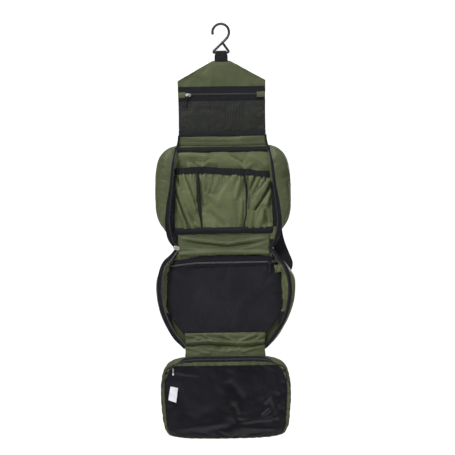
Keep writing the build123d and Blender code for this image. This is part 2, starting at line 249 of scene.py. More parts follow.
# The slot that each material's pieces go in, unless a piece names another.
SLOTS = {
    "ripstop": (GREEN, GREEN_LINING), "black_webbing": (BLACK_WEB,), "zip_tape": (BLACK_TAPE,),
    "black_binding": (BLACK_BIND,), "elastic": (ELASTIC,), "black_mesh": (FLAP_MESH, TRAY_MESH),
    "zip_coil": (COIL, DARK_COIL), "hook_plastic": (HOOK,), "slider_metal": (SILVER, BLACKENED),
    "main_slider_metal": (NICKEL,), "clear_film": (FILM,), "label_cloth": (LABEL,),
}
SLOT_OF = {material.name: slot for slot, materials in SLOTS.items() for material in materials}


# ---- curves and noises
def ease(t):
    t = max(0.0, min(1.0, t))
    return t * t * (3 - 2 * t)


def ramp(value, low, high):
    return ease((value - low) / (high - low))


def bell(value, width):
    """1 at 0, falling off within about twice width to either side."""
    return math.exp(-((value / width) ** 2))


def arch(t):
    """0 at 0, 1 half way and 0 at 1."""
    return math.sin(math.pi * t)


def soften(y, limit, give):
    """y, but what goes in front of limit is pressed back, to give mm at most."""
    return y if y > limit else limit - give * (1 - math.exp((y - limit) / give))


def drift(a, b, seed):
    return noise.noise(Vector((a, b, seed)))


def ripple(x, d, scale, seed, octaves=3):
    """Smooth wrinkle noise, about -1 to 1, with features scale mm across."""
    return noise.fractal(Vector((x / scale, d / scale, seed * 7.3)), 0.9, 2.1, octaves)


def crease(x, d, scale, seed):
    """Sharp-backed creases: 1 along thin wandering lines, falling towards -1 between them."""
    a = drift(x / scale, d / scale, seed * 5.1)
    b = drift(x / scale * 2.3 + 4, d / scale * 2.3, seed * 5.1 + 9)
    return 1 - 2.6 * abs(a) + 0.5 * (1 - 2.6 * abs(b))


def fold(x, d, start, stop, width):
    """1 on the line from start to stop (x, depth), falling to 0 at width mm either side and at its ends."""
    a, b, p = Vector(start), Vector(stop), Vector((x, d))
    along = b - a
    t = (p - a).dot(along) / along.length_squared
    away = (p - a - along * max(0.0, min(1.0, t))).length
    return bell(away, width) * (ramp(t, -0.15, 0.12) * (1 - ramp(t, 0.88, 1.15)))


def folds(x, d, marks, widen=1.0):
    """How far folds stand out, from marks of (x, depth, x, depth, width, height)."""
    return sum(
        height * fold(x, d, (x0, d0), (x1, d1), width * widen)
        for x0, d0, x1, d1, width, height in marks
    )


def profile(points):
    """A function giving y at a depth from (depth, y) pairs, smooth between them."""
    def y_at(depth):
        if depth <= points[0][0]:
            return points[0][1]
        for (d0, y0), (d1, y1) in zip(points, points[1:]):
            if depth <= d1:
                return y0 + (y1 - y0) * ease((depth - d0) / (d1 - d0))
        return points[-1][1]

    return y_at


def resample(points, count, closed=False):
    """count + 1 points evenly spaced along a chain (count, when it is closed)."""
    chain = [Vector(p) for p in points]
    if closed:
        chain.append(chain[0])
    lengths = [0.0]
    for a, b in zip(chain, chain[1:]):
        lengths.append(lengths[-1] + (b - a).length)
    made, k = [], 0
    for i in range(count if closed else count + 1):
        target = lengths[-1] * i / count
        while k < len(chain) - 2 and lengths[k + 1] < target:
            k += 1
        part = (target - lengths[k]) / max(lengths[k + 1] - lengths[k], 1e-9)
        made.append(chain[k].lerp(chain[k + 1], part))
    return made


def rounded(corners, radii, closed=True, steps=10):
    """A chain through corners, each rounded by an arc-like curve of its radius."""
    chain, n = [], len(corners)
    for i, (corner, radius) in enumerate(zip(corners, radii)):
        here = Vector(corner)
        if not radius or (not closed and i in (0, n - 1)):
            chain.append(here)
            continue
        before, after = Vector(corners[i - 1]), Vector(corners[(i + 1) % n])
        start = here + (before - here).normalized() * min(radius, (before - here).length * 0.49)
        stop = here + (after - here).normalized() * min(radius, (after - here).length * 0.49)
        for k in range(steps + 1):
            t = k / steps
            chain.append(start.lerp(here, t).lerp(here.lerp(stop, t), t))
    return chain


def route(points, radii, count, side=1, steps=10):
    """An open rounded line of count + 1 points through (x, depth) corners, or through (x, y, depth) ones."""
    flat = [p if len(p) == 3 else (p[0], 0, p[1]) for p in points]
    return resample(rounded([(side * x, y, d) for x, y, d in flat], radii, False, steps), count)


def outline_chain(corners, radii, count):
    """A closed rounded outline, the same on both sides, from its right-hand corners (x, depth)."""
    right = [(x, 0, d) for x, d in corners]
    left = [(-x, 0, d) for x, d in reversed(corners)]
    return resample(rounded(right + left, list(radii) + list(reversed(radii)), steps=14), count, closed=True)


def moved(chain, y):
    """A chain of points set off by y mm."""
    return [Vector(p) + Vector((0, y, 0)) for p in chain]


# ---- mesh tools
def link(name, data):
    made = bpy.data.objects.new(name, data)
    bpy.context.collection.objects.link(made)
    return made


def evaluated_mesh(made):
    graph = bpy.context.evaluated_depsgraph_get()
    return bpy.data.meshes.new_from_object(made.evaluated_get(graph))


def finish_object(name, data, material, slot=None):
    made = link(name, data)
    data.materials.clear()
    data.materials.append(material)
    for polygon in data.polygons:
        polygon.use_smooth = True
    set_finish(made, slot or SLOT_OF[material.name])
    return made


def new_object(name, verts, faces, material, slot=None):
    data = bpy.data.meshes.new(name)
    data.from_pydata([tuple(metres(v)) for v in verts], [], faces)
    data.update()
    return finish_object(name, data, material, slot)


def quads(rows, columns, closed=True):
    """Faces between rows + 1 rows of columns points each."""
    faces = []
    for j in range(rows):
        for i in range(columns if closed else columns - 1):
            a, b = j * columns + i, j * columns + (i + 1) % columns
            faces.append((a, b, b + columns, a + columns))
    return faces


def capped(rows, columns):
    ends = [tuple(range(columns - 1, -1, -1)), tuple(rows * columns + k for k in range(columns))]
    return quads(rows, columns) + ends


def patch(name, across, down, point, material, thick=0.0, slot=None, round_u=False, **crumpling):
    """A cloth surface from point(u, v) in mm, with u and v from 0 to 1, crumpled if it has slack."""
    columns = across if round_u else across + 1
    verts = [point(i / across, j / down) for j in range(down + 1) for i in range(columns)]
    made = new_object(name, verts, quads(down, columns, round_u), material, slot)
    if crumpling:
        crumple(made, **crumpling)
    if thick:
        solidify(made, thick)
    return made


def solidify(made, thick):
    """Gives a sheet its thickness, half to each side."""
    modifier = made.modifiers.new("thickness", "SOLIDIFY")
    modifier.thickness = thick * MM
    modifier.offset = 0
    bpy.context.view_layer.update()
    final = evaluated_mesh(made)
    made.modifiers.clear()
    made.data = final


def crumple(made, slack, cap=4.0, bending=6.0, pressure=0.0, hold=None):
    """Lets a cloth that is slack times too large buckle between its held edges, by cloth simulation.

    Its outer edge is held, and so is any point that hold(x, depth) picks. No point moves further than cap mm.
    """
    data = made.data
    rim = {}
    for polygon in data.polygons:
        for key in polygon.edge_keys:
            rim[key] = rim.get(key, 0) + 1
    held = {v for key, uses in rim.items() if uses == 1 for v in key}
    if hold:
        held |= {v.index for v in data.vertices if hold(v.co.x / MM, -v.co.z / MM)}
    group = made.vertex_groups.new(name="held")
    group.add(sorted(held), 1.0, "REPLACE")
    modifier = made.modifiers.new("cloth", "CLOTH")
    settings = modifier.settings
    settings.quality = 5
    settings.mass = 0.12
    settings.air_damping = 6.0
    settings.tension_stiffness = 20
    settings.compression_stiffness = 20
    settings.shear_stiffness = 8
    settings.bending_stiffness = bending
    settings.vertex_group_mass = "held"
    settings.shrink_min = -slack
    settings.effector_weights.gravity = 0.0
    if pressure:
        settings.use_pressure = True
        settings.uniform_pressure_force = pressure
    modifier.collision_settings.use_collision = False
    modifier.collision_settings.use_self_collision = False
    modifier.point_cache.frame_end = CLOTH_FRAMES
    scene = bpy.context.scene
    for frame_number in range(1, CLOTH_FRAMES + 1):
        scene.frame_set(frame_number)
    graph = bpy.context.evaluated_depsgraph_get()
    settled = [v.co.copy() for v in made.evaluated_get(graph).data.vertices]
    made.modifiers.clear()
    made.vertex_groups.clear()
    scene.frame_set(1)
    for vertex, target in zip(data.vertices, settled):
        step = target - vertex.co
        if step.length > cap * MM:
            step *= cap * MM / step.length
        vertex.co += step
    data.update()


def tube(name, points, radius, material, slot=None, sides=3, cyclic=False, swell=()):
    """A smooth rod along points, its radius swelled point by point."""
    curve = bpy.data.curves.new(name, "CURVE")
    curve.dimensions = "3D"
    curve.bevel_depth = radius * MM
    curve.bevel_resolution = sides
    curve.use_fill_caps = True
    spline = curve.splines.new("POLY")
    spline.points.add(len(points) - 1)
    for target, point in zip(spline.points, points):
        target.co = (*metres(point), 1)
    for target, share in zip(spline.points, swell):
        target.radius = share
    spline.use_cyclic_u = cyclic
    made = link(name, curve)
    mesh = evaluated_mesh(made)
    bpy.data.objects.remove(made)
    return finish_object(name, mesh, material, slot)


def coil(name, chain, radius, material):
    """A zip's coil: a rod along chain whose radius swells at each tooth."""
    tooth, sides = 0.9, 6
    count = max(8, int(sum((b - a).length for a, b in zip(chain, chain[1:])) / (tooth / 2)))
    fine = resample(chain, count)
    verts = []
    for i, p in enumerate(fine):
        ahead = (fine[min(i + 1, count)] - fine[max(i - 1, 0)]).normalized()
        side = ahead.cross(Vector((0, 1, 0))).normalized()
        front = Vector((0, -1, 0))
        r = radius * (1.0 if i % 2 else 0.66)
        for k in range(sides):
            a = 2 * math.pi * k / sides
            verts.append(p + side * (math.cos(a) * r * 1.2) + front * (math.sin(a) * r * 0.7))
    return new_object(name, verts, capped(count, sides), material)


def stitches(name, chain, material=BLACK_BIND, pitch=2.6, long=1.9, wide=0.45):
    """A row of small raised threads along a chain, with a gap after each."""
    total = sum((b - a).length for a, b in zip(chain, chain[1:]))
    count = max(2, round(total / pitch))
    fine = resample(chain, count * 4)
    verts, faces = [], []
    for i in range(count):
        a = fine[i * 4]
        along = (fine[min(i * 4 + 1, count * 4)] - a).normalized()
        side = along.cross(Vector((0, 1, 0))).normalized() * wide / 2
        up = Vector((0, -wide * 0.55, 0))
        base = len(verts)
        for step, lift in ((0.0, 0.0), (0.25, 1.0), (0.75, 1.0), (1.0, 0.0)):
            p = a + along * long * step
            verts += [p - side, p - side * 0.4 + up * lift, p + side * 0.4 + up * lift, p + side]
        faces += [tuple(base + corner for corner in face) for face in quads(3, 4, False)]
    return new_object(name, verts, faces, material)


def join(name, parts):
    """Several meshes as one piece."""
    merged = bmesh.new()
    materials = []
    for part in parts:
        if part.data.materials[0] not in materials:
            materials.append(part.data.materials[0])
        index = materials.index(part.data.materials[0])
        start = len(merged.faces)
        merged.from_mesh(part.data)
        merged.faces.ensure_lookup_table()
        for face in merged.faces[start:]:
            face.material_index = index
    data = bpy.data.meshes.new(name)
    merged.to_mesh(data)
    merged.free()
    for material in materials:
        data.materials.append(material)
    made = link(name, data)
    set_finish(made, parts[0]["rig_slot"])
    for part in parts:
        bpy.data.objects.remove(part)
    return made


def put(made, body, *stands_for):
    """Sets a piece on a body, in place of CAD nodes."""
    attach(made, body)
    if stands_for:
        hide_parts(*stands_for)
    return made


def bend(made, a, b, start, stop, *stands_for):
    """Bakes a piece's placement into its mesh and hides the CAD nodes it stands for; bodies a and b are not
    used, and depths start and stop lead nowhere.
    """
    metres((0, 0, start))
    metres((0, 0, stop))
    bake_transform(made)
    if stands_for:
        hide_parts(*stands_for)
    return made


# ---- sliders and pulls
def pressed_plate(name, chain, y_front, y_back, bevel, material, slot):
    """A flat plate with a rounded edge, from a closed chain of (x, depth)."""
    flat = [Vector((x, 0, depth)) for x, depth in chain]
    centre = sum(flat, Vector()) / len(flat)
    rings = (
        (bevel, y_back), (0.0, y_back - bevel * 0.6), (0.0, y_front + bevel),
        (bevel * 0.35, y_front + bevel * 0.3), (bevel, y_front),
    )
    verts = []
    for inset, y in rings:
        for p in flat:
            away = centre - p
            verts.append(p + away.normalized() * min(inset, away.length * 0.8) + Vector((0, y, 0)))
    return new_object(name, verts, capped(len(rings) - 1, len(flat)), material, slot)


def slot_chain(x, depth, long, wide, angle, waist=0.0):
    """A closed rounded outline about a point, narrowed to a waist; angle 0 lies along X."""
    points = []
    half = (long - wide) / 2
    for k in range(28):
        a = 2 * math.pi * k / 28
        px = math.cos(a) * wide / 2 + (half if math.cos(a) >= 0 else -half)
        py = math.sin(a) * wide / 2 * (1 - waist * bell(px, long * 0.22))
        c, s = math.cos(angle), math.sin(angle)
        points.append((x + px * c - py * s, depth + px * s + py * c))
    return points


def zip_slider(name, x, depth, y, long, wide, angle, material, slot=None):
    """A slider: a waisted top plate, a base plate and the bridge its pull hangs from. y is its front face."""
    top_chain = slot_chain(x, depth, long, wide, angle, 0.16)
    base_chain = slot_chain(x, depth, long * 0.92, wide * 0.94, angle)
    top = pressed_plate(name + "_a", top_chain, y + 0.7, y + 1.5, 0.4, material, slot)
    base = pressed_plate(name + "_b", base_chain, y + 1.9, y + 2.6, 0.3, material, slot)
    ahead = Vector((math.cos(angle), 0, math.sin(angle)))
    bridge = [
        Vector((x, y + 1.0 - math.sqrt(max(0, 1 - t * t)), depth)) + ahead * (t * long * 0.34)
        for t in (-1, -0.86, -0.6, -0.3, 0, 0.3, 0.6, 0.86, 1)
    ]
    return join(name, [top, base, tube(name + "_c", bridge, 0.55, material, slot)])


def pull_tab(name, x, top, y, length, wide, material, slot=None):
    """A stamped pull: a tapered tab with a raised middle and a ring at its top."""
    turns = [k * math.pi / 8 for k in range(16)]
    eye = [Vector((x + math.cos(a) * wide * 0.36, y, top + 1.6 + math.sin(a) * 1.7)) for a in turns]
    ring = tube(name + "_a", eye, 0.5, material, slot, cyclic=True)
    edge = [(0.42, 0), (0.62, 0.12), (0.8, 0.4), (0.98, 0.8), (0.9, 0.93), (0.55, 1.0)]
    shape = [(-0.42, 0)] + edge + [(-px, py) for px, py in reversed(edge[1:])]
    outline = [(x + px * wide / 2, top + 2.6 + py * (length - 2.6)) for px, py in shape]
    tab = pressed_plate(name + "_b", outline, y - 0.6, y + 0.5, 0.35, material, slot)
    middle = top + length * 0.62
    inner = [(x + (px - x) * 0.62, middle + (depth - middle) * 0.55) for px, depth in outline]
    return join(name, [ring, tab, pressed_plate(name + "_c", inner, y - 0.85, y - 0.3, 0.25, material, slot)])


# ---- hook and hanger loop
HOOK_R, CROSSING = 2.45, (3.0, 0, 33.5)
arc = [
    (15.7 * math.cos(a), 0, 13.45 - 15.7 * math.sin(a))
    for a in [math.radians(188 - 208 * k / 44) for k in range(45)]
]
legs = rounded(
    [
        arc[-1], (12.6, 0, 24.0), CROSSING, (-14.6, 0, 50.0),
        (-13.4, 0, BAR), (13.4, 0, BAR), (14.6, 0, 50.0), CROSSING,
    ],
    [0, 5, 2, 1.6, 1.6, 1.6, 1.6, 0], closed=False,
)
parts = [tube("hook_a", resample(arc + legs[1:], 180), HOOK_R, HOOK, sides=5)]
for place, radius in ((arc[0], 2.75 * MM), (CROSSING, 2.9 * MM)):
    bpy.ops.mesh.primitive_uv_sphere_add(segments=20, ring_count=12, radius=radius, location=metres(place))
    ball = bpy.context.object
    ball.data.transform(ball.matrix_world)
    ball.matrix_world = Matrix.Identity(4)
    ball.data.materials.append(HOOK)
    ball.data.shade_smooth()
    parts.append(ball)
put(join("hook_rod", parts), "hook", "hook")

LOOP_R, LOOP_STEPS = 3.2, 60
loop_turn = [math.radians(115 - 230 * k / 16) for k in range(17)]
loop_path = [(0, -0.9, 69.5), (0, -1.5, 65), (0, -2.4, 59.5)]
loop_path += [(0, -LOOP_R * math.sin(a), BAR - LOOP_R * math.cos(a)) for a in loop_turn]
loop_path += [(0, 2.4, 60), (0, 1.6, 66), (0, 1.0, 74)]
loop_path = resample(loop_path, LOOP_STEPS)


def loop_point(u, v):
    p = loop_path[round(v * LOOP_STEPS)]
    half = 10.0 + 2.5 * ramp(p.z, 53, 59)
    bow = 0.5 * (1 - ramp(p.z, 55, 62)) * math.cos((u - 0.5) * 9)
    y = p.y + bow * (0.6 if p.y < 0 else -0.6)
    return ((u - 0.5) * 2 * half, y, p.z + ripple(u * 9, v * 30, 6, 3) * 0.25)


loop = put(patch("hanger_webbing", 16, LOOP_STEPS, loop_point, BLACK_WEB, 1.5), "flap", "hanger_loop")
box = [(-9, -2.5, 60.5), (9, -2.5, 60.5), (9, -2.1, 66.5), (-9, -2.1, 66.5), (-9, -2.5, 60.5)]
put(stitches("hanger_stitch", moved(box, 0), BLACK_BIND, 2.4, 1.7, 0.5), "flap")

# ---- flap
FLAP_CUT, HEM_END = 222.0, 234.0
FLAP_NECK = 16.5


def flap_half(depth):
    """Half the flap's width: a gable down to the shoulders, then sides that draw in a little."""
    full = FLAP_HALF + 0.8
    if depth < FLAP_SHOULDER:
        return FLAP_NECK + (full - FLAP_NECK) * (depth - FLAP_TOP) / (FLAP_SHOULDER - FLAP_TOP)
    return full - ramp(depth, FLAP_SHOULDER, 160) - 0.4 * ramp(depth, 190, 228)


def flap_y(x, depth):
    edge = abs(x) / flap_half(depth)
    y = 0.7 * ripple(x, depth, 46, 1) + 0.35 * ripple(x, depth, 15, 2)
    y -= 0.9 * ramp(edge, 0.93, 1.0) * ramp(depth, 74, 90)
    y += 0.3 * fold(x, depth, (-60, 92), (-30, 112), 8) - 0.7 * fold(x, depth, (22, 84), (56, 112), 6)
    sag = 213.0 + 5.0 * (1 - edge ** 2)
    y -= (2.6 + 0.5 * crease(x, depth, 18, 10)) * bell(depth - sag, 3.4) * (1 - edge ** 6)
    return y * ramp(depth, 66, 80) * (1 - 0.7 * ramp(depth, 205, FLAP_CUT))


def flap_point(u, v):
    depth = FLAP_TOP + (FLAP_CUT - FLAP_TOP) * v
    x = (2 * u - 1) * flap_half(depth)
    wobble = 0.5 * drift(depth / 14, u * 3, 4)
    return (x + (wobble if abs(u - 0.5) > 0.49 else 0), flap_y(x, depth), depth)


def down_flap(side, start, stop, inset, lift, count=60):
    """A line down the flap, inset from its edge and lift mm in front of it."""
    depths = [start + (stop - start) * k / count for k in range(count + 1)]
    xs = [side * (flap_half(d) - inset) for d in depths]
    return [Vector((x, flap_y(x, d) - lift, d)) for x, d in zip(xs, depths)]


def across_flap(depth, half, lift, count=60):
    xs = [(2 * k / count - 1) * half for k in range(count + 1)]
    return [Vector((x, flap_y(x, depth) - lift, depth)) for x in xs]


flap = patch("flap_cloth", 96, 100, flap_point, GREEN, 1.1, slack=0.004, cap=0.8, bending=24)
put(flap, "flap", "flap_panel")
lines = [down_flap(side, 73, 216, 3.2, 0.62) for side in (-1, 1)]
lines += [across_flap(71.5, 15, 0.62, 12), across_flap(115.8, 80, 0.62)]
hems = [stitches("flap_hem", line, GREEN_LINING, 3.0, 2.1, 0.55) for line in lines]
put(join("flap_stitching", hems), "flap")


def zip_nearness(depth):
    return 1 - abs(depth - FLAP_ZIP) / 15


def flap_tape(top, bottom):
    def point(u, v):
        depth = top + (bottom - top) * v
        x = (2 * u - 1) * 82.2
        y = flap_y(x, depth) - 1.15 - 0.7 * zip_nearness(depth) + 0.25 * ripple(x, depth, 13, 5)
        return (x, y, depth)

    return patch("flap_tape", 90, 8, point, BLACK_TAPE, 0.6)


FLAP_TAPES = ((116.8, 130.6), (132.4, 146.2))
FLAP_TAPE_SEAMS = (119.2, 128.4, 134.6, 143.6)
tapes = [flap_tape(top, bottom) for top, bottom in FLAP_TAPES]
for depth in FLAP_TAPE_SEAMS:
    tapes.append(stitches("flap_tape", across_flap(depth, 80.5, 1.75 + 0.3 * zip_nearness(depth))))
put(join("flap_zip_tapes", tapes), "flap", "flap_zip_tape")
zip_line = [
    Vector((x, flap_y(x, FLAP_ZIP) - 2.1, FLAP_ZIP + 0.3 * drift(x / 20, 0, 0)))
    for x in range(-67, 68, 3)
]
put(coil("flap_coil", zip_line, 1.75, DARK_COIL), "flap", "flap_zip_coil")


def flap_tab(left, right):
    def point(u, v):
        bow = 0.9 * arch(v) + 0.3 * arch(u)
        return (left + (right - left) * u, -3.0 - bow, 127.4 + 10.6 * v + 0.35 * math.sin(u * 5))

    return patch("flap_tab", 14, 10, point, GREEN, 1.0, "black_binding")


FLAP_TABS = ((-82.6, -69.0), (66.5, 81.6))
tabs = [flap_tab(left, right) for left, right in FLAP_TABS]
put(join("flap_zip_end_tabs", tabs), "flap", "flap_zip_tabs")


def flap_mesh_point(u, v):
    depth = 144.6 + 57.5 * v
    x = (2 * u - 1) * 81.6
    bag = arch(min(1, v * 1.05)) ** 0.7 * (1 - abs(2 * u - 1) ** 6)
    marks = ((-50, 150, -62, 198, 5, 1.0), (30, 152, 44, 196, 6, 0.9))
    y = flap_y(x, depth) - 2.0 - 1.4 * bag
    return (x, y + bag * (0.5 * ripple(x, depth, 30, 6) - folds(x, depth, marks)), depth)


flap_mesh = patch(
    "flap_mesh_cloth", 100, 44, flap_mesh_point, FLAP_MESH, 0.5, slack=0.02, cap=1.4, bending=14
)
put(flap_mesh, "flap", "flap_mesh_pocket")


def flap_binding_point(u, v):
    depth = 199.6 + 11.2 * v + 0.4 * drift(u * 12, 0, 9)
    x = (2 * u - 1) * 82.6
    return (x, flap_y(x, depth) - 1.5 - 1.3 * arch(v) ** 0.6 + 0.12 * ripple(x, depth, 5, 8), depth)


binding = patch("flap_binding_cloth", 90, 10, flap_binding_point, BLACK_BIND, 0.7)
seam = stitches("flap_binding_stitch", across_flap(203.2, 80, 3.0), BLACK_TAPE, wide=0.5)
put(join("flap_pocket_tape", [binding, seam]), "flap", "flap_pocket_binding")


def hem_point(u, v):
    depth = FLAP_CUT + (HEM_END - FLAP_CUT) * v
    x = (2 * u - 1) * (flap_half(FLAP_CUT) + 3.5 * v)
    sag = 2.5 * (1 - (2 * u - 1) ** 2)
    tuck = 1.7 * bell(depth - 229 - sag * 0.5, 2.6)
    y = flap_y(x, FLAP_CUT) * (1 - v) + 0.3 * v + tuck + 0.5 * crease(x, depth, 16, 9) * arch(v)
    return (x, y, depth)


hem = patch("flap_hem_cloth", 80, 12, hem_point, GREEN, 1.1)
bend(hem, "flap", "upper_shell", FLAP_CUT, HEM_END)
PIPING = [(82.4, -1.8, 209), (82.8, -2.2, 217), (84.6, -2.8, 226), (87.0, -4.2, 235)]
for side, word in SIDES:
    piping = tube(f"flap_piping_{word}", route(PIPING, [0, 6, 6, 0], 24, side), 1.9, BLACK_BIND)
    bend(piping, "flap", "upper_shell", FLAP_CUT, HEM_END)

slider = zip_slider("flap_slider", -63.4, 132.6, -5.6, 11.0, 6.4, 0.0, SILVER)
put(slider, "flap_slider", "flap_zip_slider")
CORD = [
    (-64.2, -5.6, 134.5), (-65.4, -5.3, 137), (-65.9, -4.6, 141),
    (-66.6, -4.2, 146), (-67.4, -4.2, 151), (-67.8, -4.4, 155),
]
CORD_R, CORD_APART = 0.85, Vector((1.3, -0.2, 0))
cord = route(CORD, [0, 2, 3, 3, 3, 0], 40)
strands = [
    tube("flap_cord", line, CORD_R, BLACK_WEB, "pull_cord")
    for line in (cord, [p + CORD_APART for p in cord])
]
knot = [
    Vector((-67.2 + 1.5 * math.cos(a * 2.0), -4.5 + 0.7 * math.sin(a * 3.0), 154.2 + 1.7 * math.sin(a)))
    for a in [2 * math.pi * k / 36 for k in range(36)]
]
strands.append(tube("flap_cord", knot, 0.9, BLACK_WEB, "pull_cord", cyclic=True))
put(join("flap_cord_pull", strands), "flap_pull", "flap_zip_pull")


# ---- the trays' shared parts
class Side:
    """One side of a tray: a back edge and a zip rim, both running down the side."""

    def __init__(self, side, back, back_round, rim, rim_round, rim_y, back_y, reach, count):
        self.side, self.count = side, count
        self.back = route(back, back_round, count, side, 14)
        self.rim = route(rim, rim_round, count, side, 14)
        self.rim_y, self.back_y, self.reach = rim_y, back_y, reach

    def out(self, i):
        """The direction from the rim to the back edge, in the tray's plane."""
        i = max(2, min(self.count - 2, i))
        tangent = self.rim[i + 2] - self.rim[i - 2]
        away = Vector((tangent.z, 0, -tangent.x)).normalized() * self.side
        return away if away.dot(self.back[i] - self.rim[i]) > 0 else -away

    def rim_at(self, i, shift=0.0, lift=0.0, reach=0.0):
        """A point off the rim, shift mm outwards plus a share reach of the zip tape's width there."""
        if reach:
            shift += reach * self.reach(self.rim[i].z)
        p = self.rim[i] + self.out(i) * shift
        y = self.rim_y(self.rim[i].z) + 0.35 * drift(i / 9, self.side, 1)
        return Vector((p.x, y + lift, p.z))

    def wall_point(self, u, v, seed):
        """u runs down the side and v from the back edge over to the zip."""
        i = round(u * self.count)
        back, rim = self.back[i], self.rim_at(i, -0.8, reach=1.0)
        t = v * math.pi / 2
        flat = Vector((rim.x, 0, rim.z)).lerp(back, math.cos(t) ** 0.85)
        y0, y1 = self.back_y(back.z), rim.y
        y = y0 + (y1 - y0) * math.sin(t)
        swell = arch(v) * min(1, (back - self.rim[i]).length / 18)
        along = self.count * u * 0.9
        slack = ripple(along, v * 26, 17, seed) + 0.6 * ripple(along, v * 9, 6.5, seed + 1, 2)
        flat += self.out(i) * (swell * (0.4 + 0.6 * slack))
        dent = 1.3 * crease(along + v * 14, v * 30, 24, seed + 2)
        dent += 0.5 * crease(along * 1.6, v * 12, 12, seed + 3)
        return Vector((flat.x, y - swell * (0.5 + dent), flat.z))

    def line(self, shift, lift, reach=0.0):
        return [self.rim_at(i, shift, lift, reach) for i in range(self.count + 1)]

    def wall(self, name, seed):
        return patch(
            name, self.count, 24, lambda u, v: self.wall_point(u, v, seed), GREEN, 0.9,
            slack=0.006, cap=2.0, bending=34,
        )

    def zip_tape(self, name, inner):
        """The zip tape along the rim, with its rolled binding and its stitches."""
        def tape_point(u, v):
            return self.rim_at(round(u * self.count), -inner * (1 - v), -0.5 + 0.6 * v, v)

        return join(name, [
            patch(name + "_t", self.count, 6, tape_point, BLACK_TAPE, 0.8),
            tube(name + "_b", self.line(-0.2, -0.1, 1.0), 0.95, BLACK_BIND),
            stitches(name + "_s", self.line(-1.9, -1.0, 1.0)),
        ])

    def lining(self, name, rows, shift, foot_at, sway, cap):
        """The strip inside the zip, from the rim to its foot on the tray's floor."""
        def point(u, v):
            i = round(u * self.count)
            rim = self.rim_at(i, shift, 0.8)
            foot = Vector((self.side * foot_at(rim), 0.2, rim.z))
            return rim.lerp(foot, v) + arch(v) * sway(i * 0.9, v)

        return patch(name, self.count, rows, point, GREEN_LINING, 0.7, slack=0.05, cap=cap)


def tray_side(tray, word, edge, bodies, cut, end, wall_seed, inner, coil_material):
    """The wall and half of the main zip at one side of a tray."""
    wall = edge.wall(f"{tray}_wall_{word}", wall_seed)
    tape = edge.zip_tape(f"{tray}_zip_{word}", inner)
    teeth = coil(f"{tray}_zip_{word}_c", edge.line(0.6 - inner, -0.7), 1.15, coil_material)
    bend(wall, *bodies, cut, end, f"{tray}_wall")
    bend(tape, *bodies, cut, end, f"{tray}_zip_tape")
    bend(teeth, *bodies, cut, end)
    return wall


def blacken_between(made, low, high=10000.0):
    """Gives a lining's faces between two depths the zip tape's black material."""
    if len(made.data.materials) < 2:
        made.data.materials.append(BLACK_TAPE)
    for polygon in made.data.polygons:
        if low < -polygon.center.z / MM < high:
            polygon.material_index = 1


class Rows:
    """A symmetric outline read as rows: its half width at each depth."""

    def __init__(self, chain):
        widest = {}
        for p in chain:
            depth = round(p.z * 2) / 2
            widest[depth] = max(widest.get(depth, 0), abs(p.x))
        self.rows = sorted(widest.items())
        self.top, self.bottom = self.rows[0][0], self.rows[-1][0]

    def half(self, depth):
        for (d0, x0), (d1, x1) in zip(self.rows, self.rows[1:]):
            if depth <= d1:
                return x0 + (x1 - x0) * max(0, depth - d0) / max(d1 - d0, 1e-6)
        return self.rows[-1][1]

    def place(self, u, v):
        """(x, depth, closeness to the edge), with rows closer together at the top and bottom."""
        even = (1 - math.cos(math.pi * v)) / 2
        depth = self.top + (self.bottom - self.top) * (0.5 * even + 0.5 * v)
        return (2 * u - 1) * self.half(depth), depth, max(abs(2 * u - 1), abs(2 * v - 1))

    def on_rim(self, x, depth):
        inside = self.top + 0.2 < depth < self.bottom - 0.2
        return abs(x) > self.half(depth) - 0.3 or not inside


def pillow(name, chain, y_back, y_front, material, seed, slot=None, cap=2.5, shift=0.0):
    """A padded panel: two cloths sewn together round their edge, full in the middle, puckered at the seam."""
    rows = Rows([p - Vector((shift, 0, 0)) for p in chain])
    middle = (y_back + y_front) / 2

    def face(word, face_y):
        out = 1 if face_y > middle else -1

        def point(u, v):
            x, depth, edge = rows.place(u, v)
            full = (1 - edge ** 7) ** 0.7
            y = middle + (face_y - middle) * full
            y += full * (0.5 * ripple(x, depth, 55, seed) + 0.3 * ripple(x, depth, 17, seed + 1))
            pull = 0.8 * math.sin((x + depth) * 2 * math.pi / 9 + 3 * drift(x / 20, depth / 20, seed))
            return (x + shift, y + pull * full * ramp(edge, 0.78, 0.96) * out, depth)

        return patch(f"{name}_{word}", 76, 60, point, material, 0.0, slot)

    made = join(name, [face("a", y_back), face("b", y_front)])
    work = bmesh.new()
    work.from_mesh(made.data)
    bmesh.ops.remove_doubles(work, verts=work.verts, dist=0.05 * MM)
    bmesh.ops.recalc_face_normals(work, faces=work.faces)
    work.to_mesh(made.data)
    work.free()
    made.data.shade_smooth()
    crumple(made, 0.012, cap, 14, 1.5, hold=lambda x, depth: rows.on_rim(x - shift, depth))
    return made


def edge_piping(name, chain, y, radius, body):
    put(tube(name, [Vector((p.x, y, p.z)) for p in chain], radius, BLACK_BIND, cyclic=True), body)


# ---- upper tray
UPPER_BACK = [(86, 228), (107, 234), (125, 256), (129.5, 310), (127, 366), (106, 396), (93, 421.5)]
UPPER_RIM = [(87, 233), (93, 262), (96.5, 300), (102, 349), (105, 376), (99, 408), (90, 421.5)]
UPPER_PANEL = [(101, 232), (122, 258), (126, 310), (124, 366), (96, 399)]
UPPER_FOLD = ("upper_shell", "spine")
UPPER_CUT, UPPER_END = 393, 412
upper_rim_y = profile([(236, -4), (262, -17), (285, -20), (368, -20), (400, -7), (421, -1.6)])
upper_back_y = profile([(229, 4.5), (360, 4.5), (400, 1.0), (421, 0.4)])
upper_reach = profile([(236, 2.2), (300, 2.8), (345, 5.5), (400, 6.5), (421, 3.5)])
upper_foot = profile([(236, 91.0), (380, 92.5), (396, 85.5), (422, 84.0)])

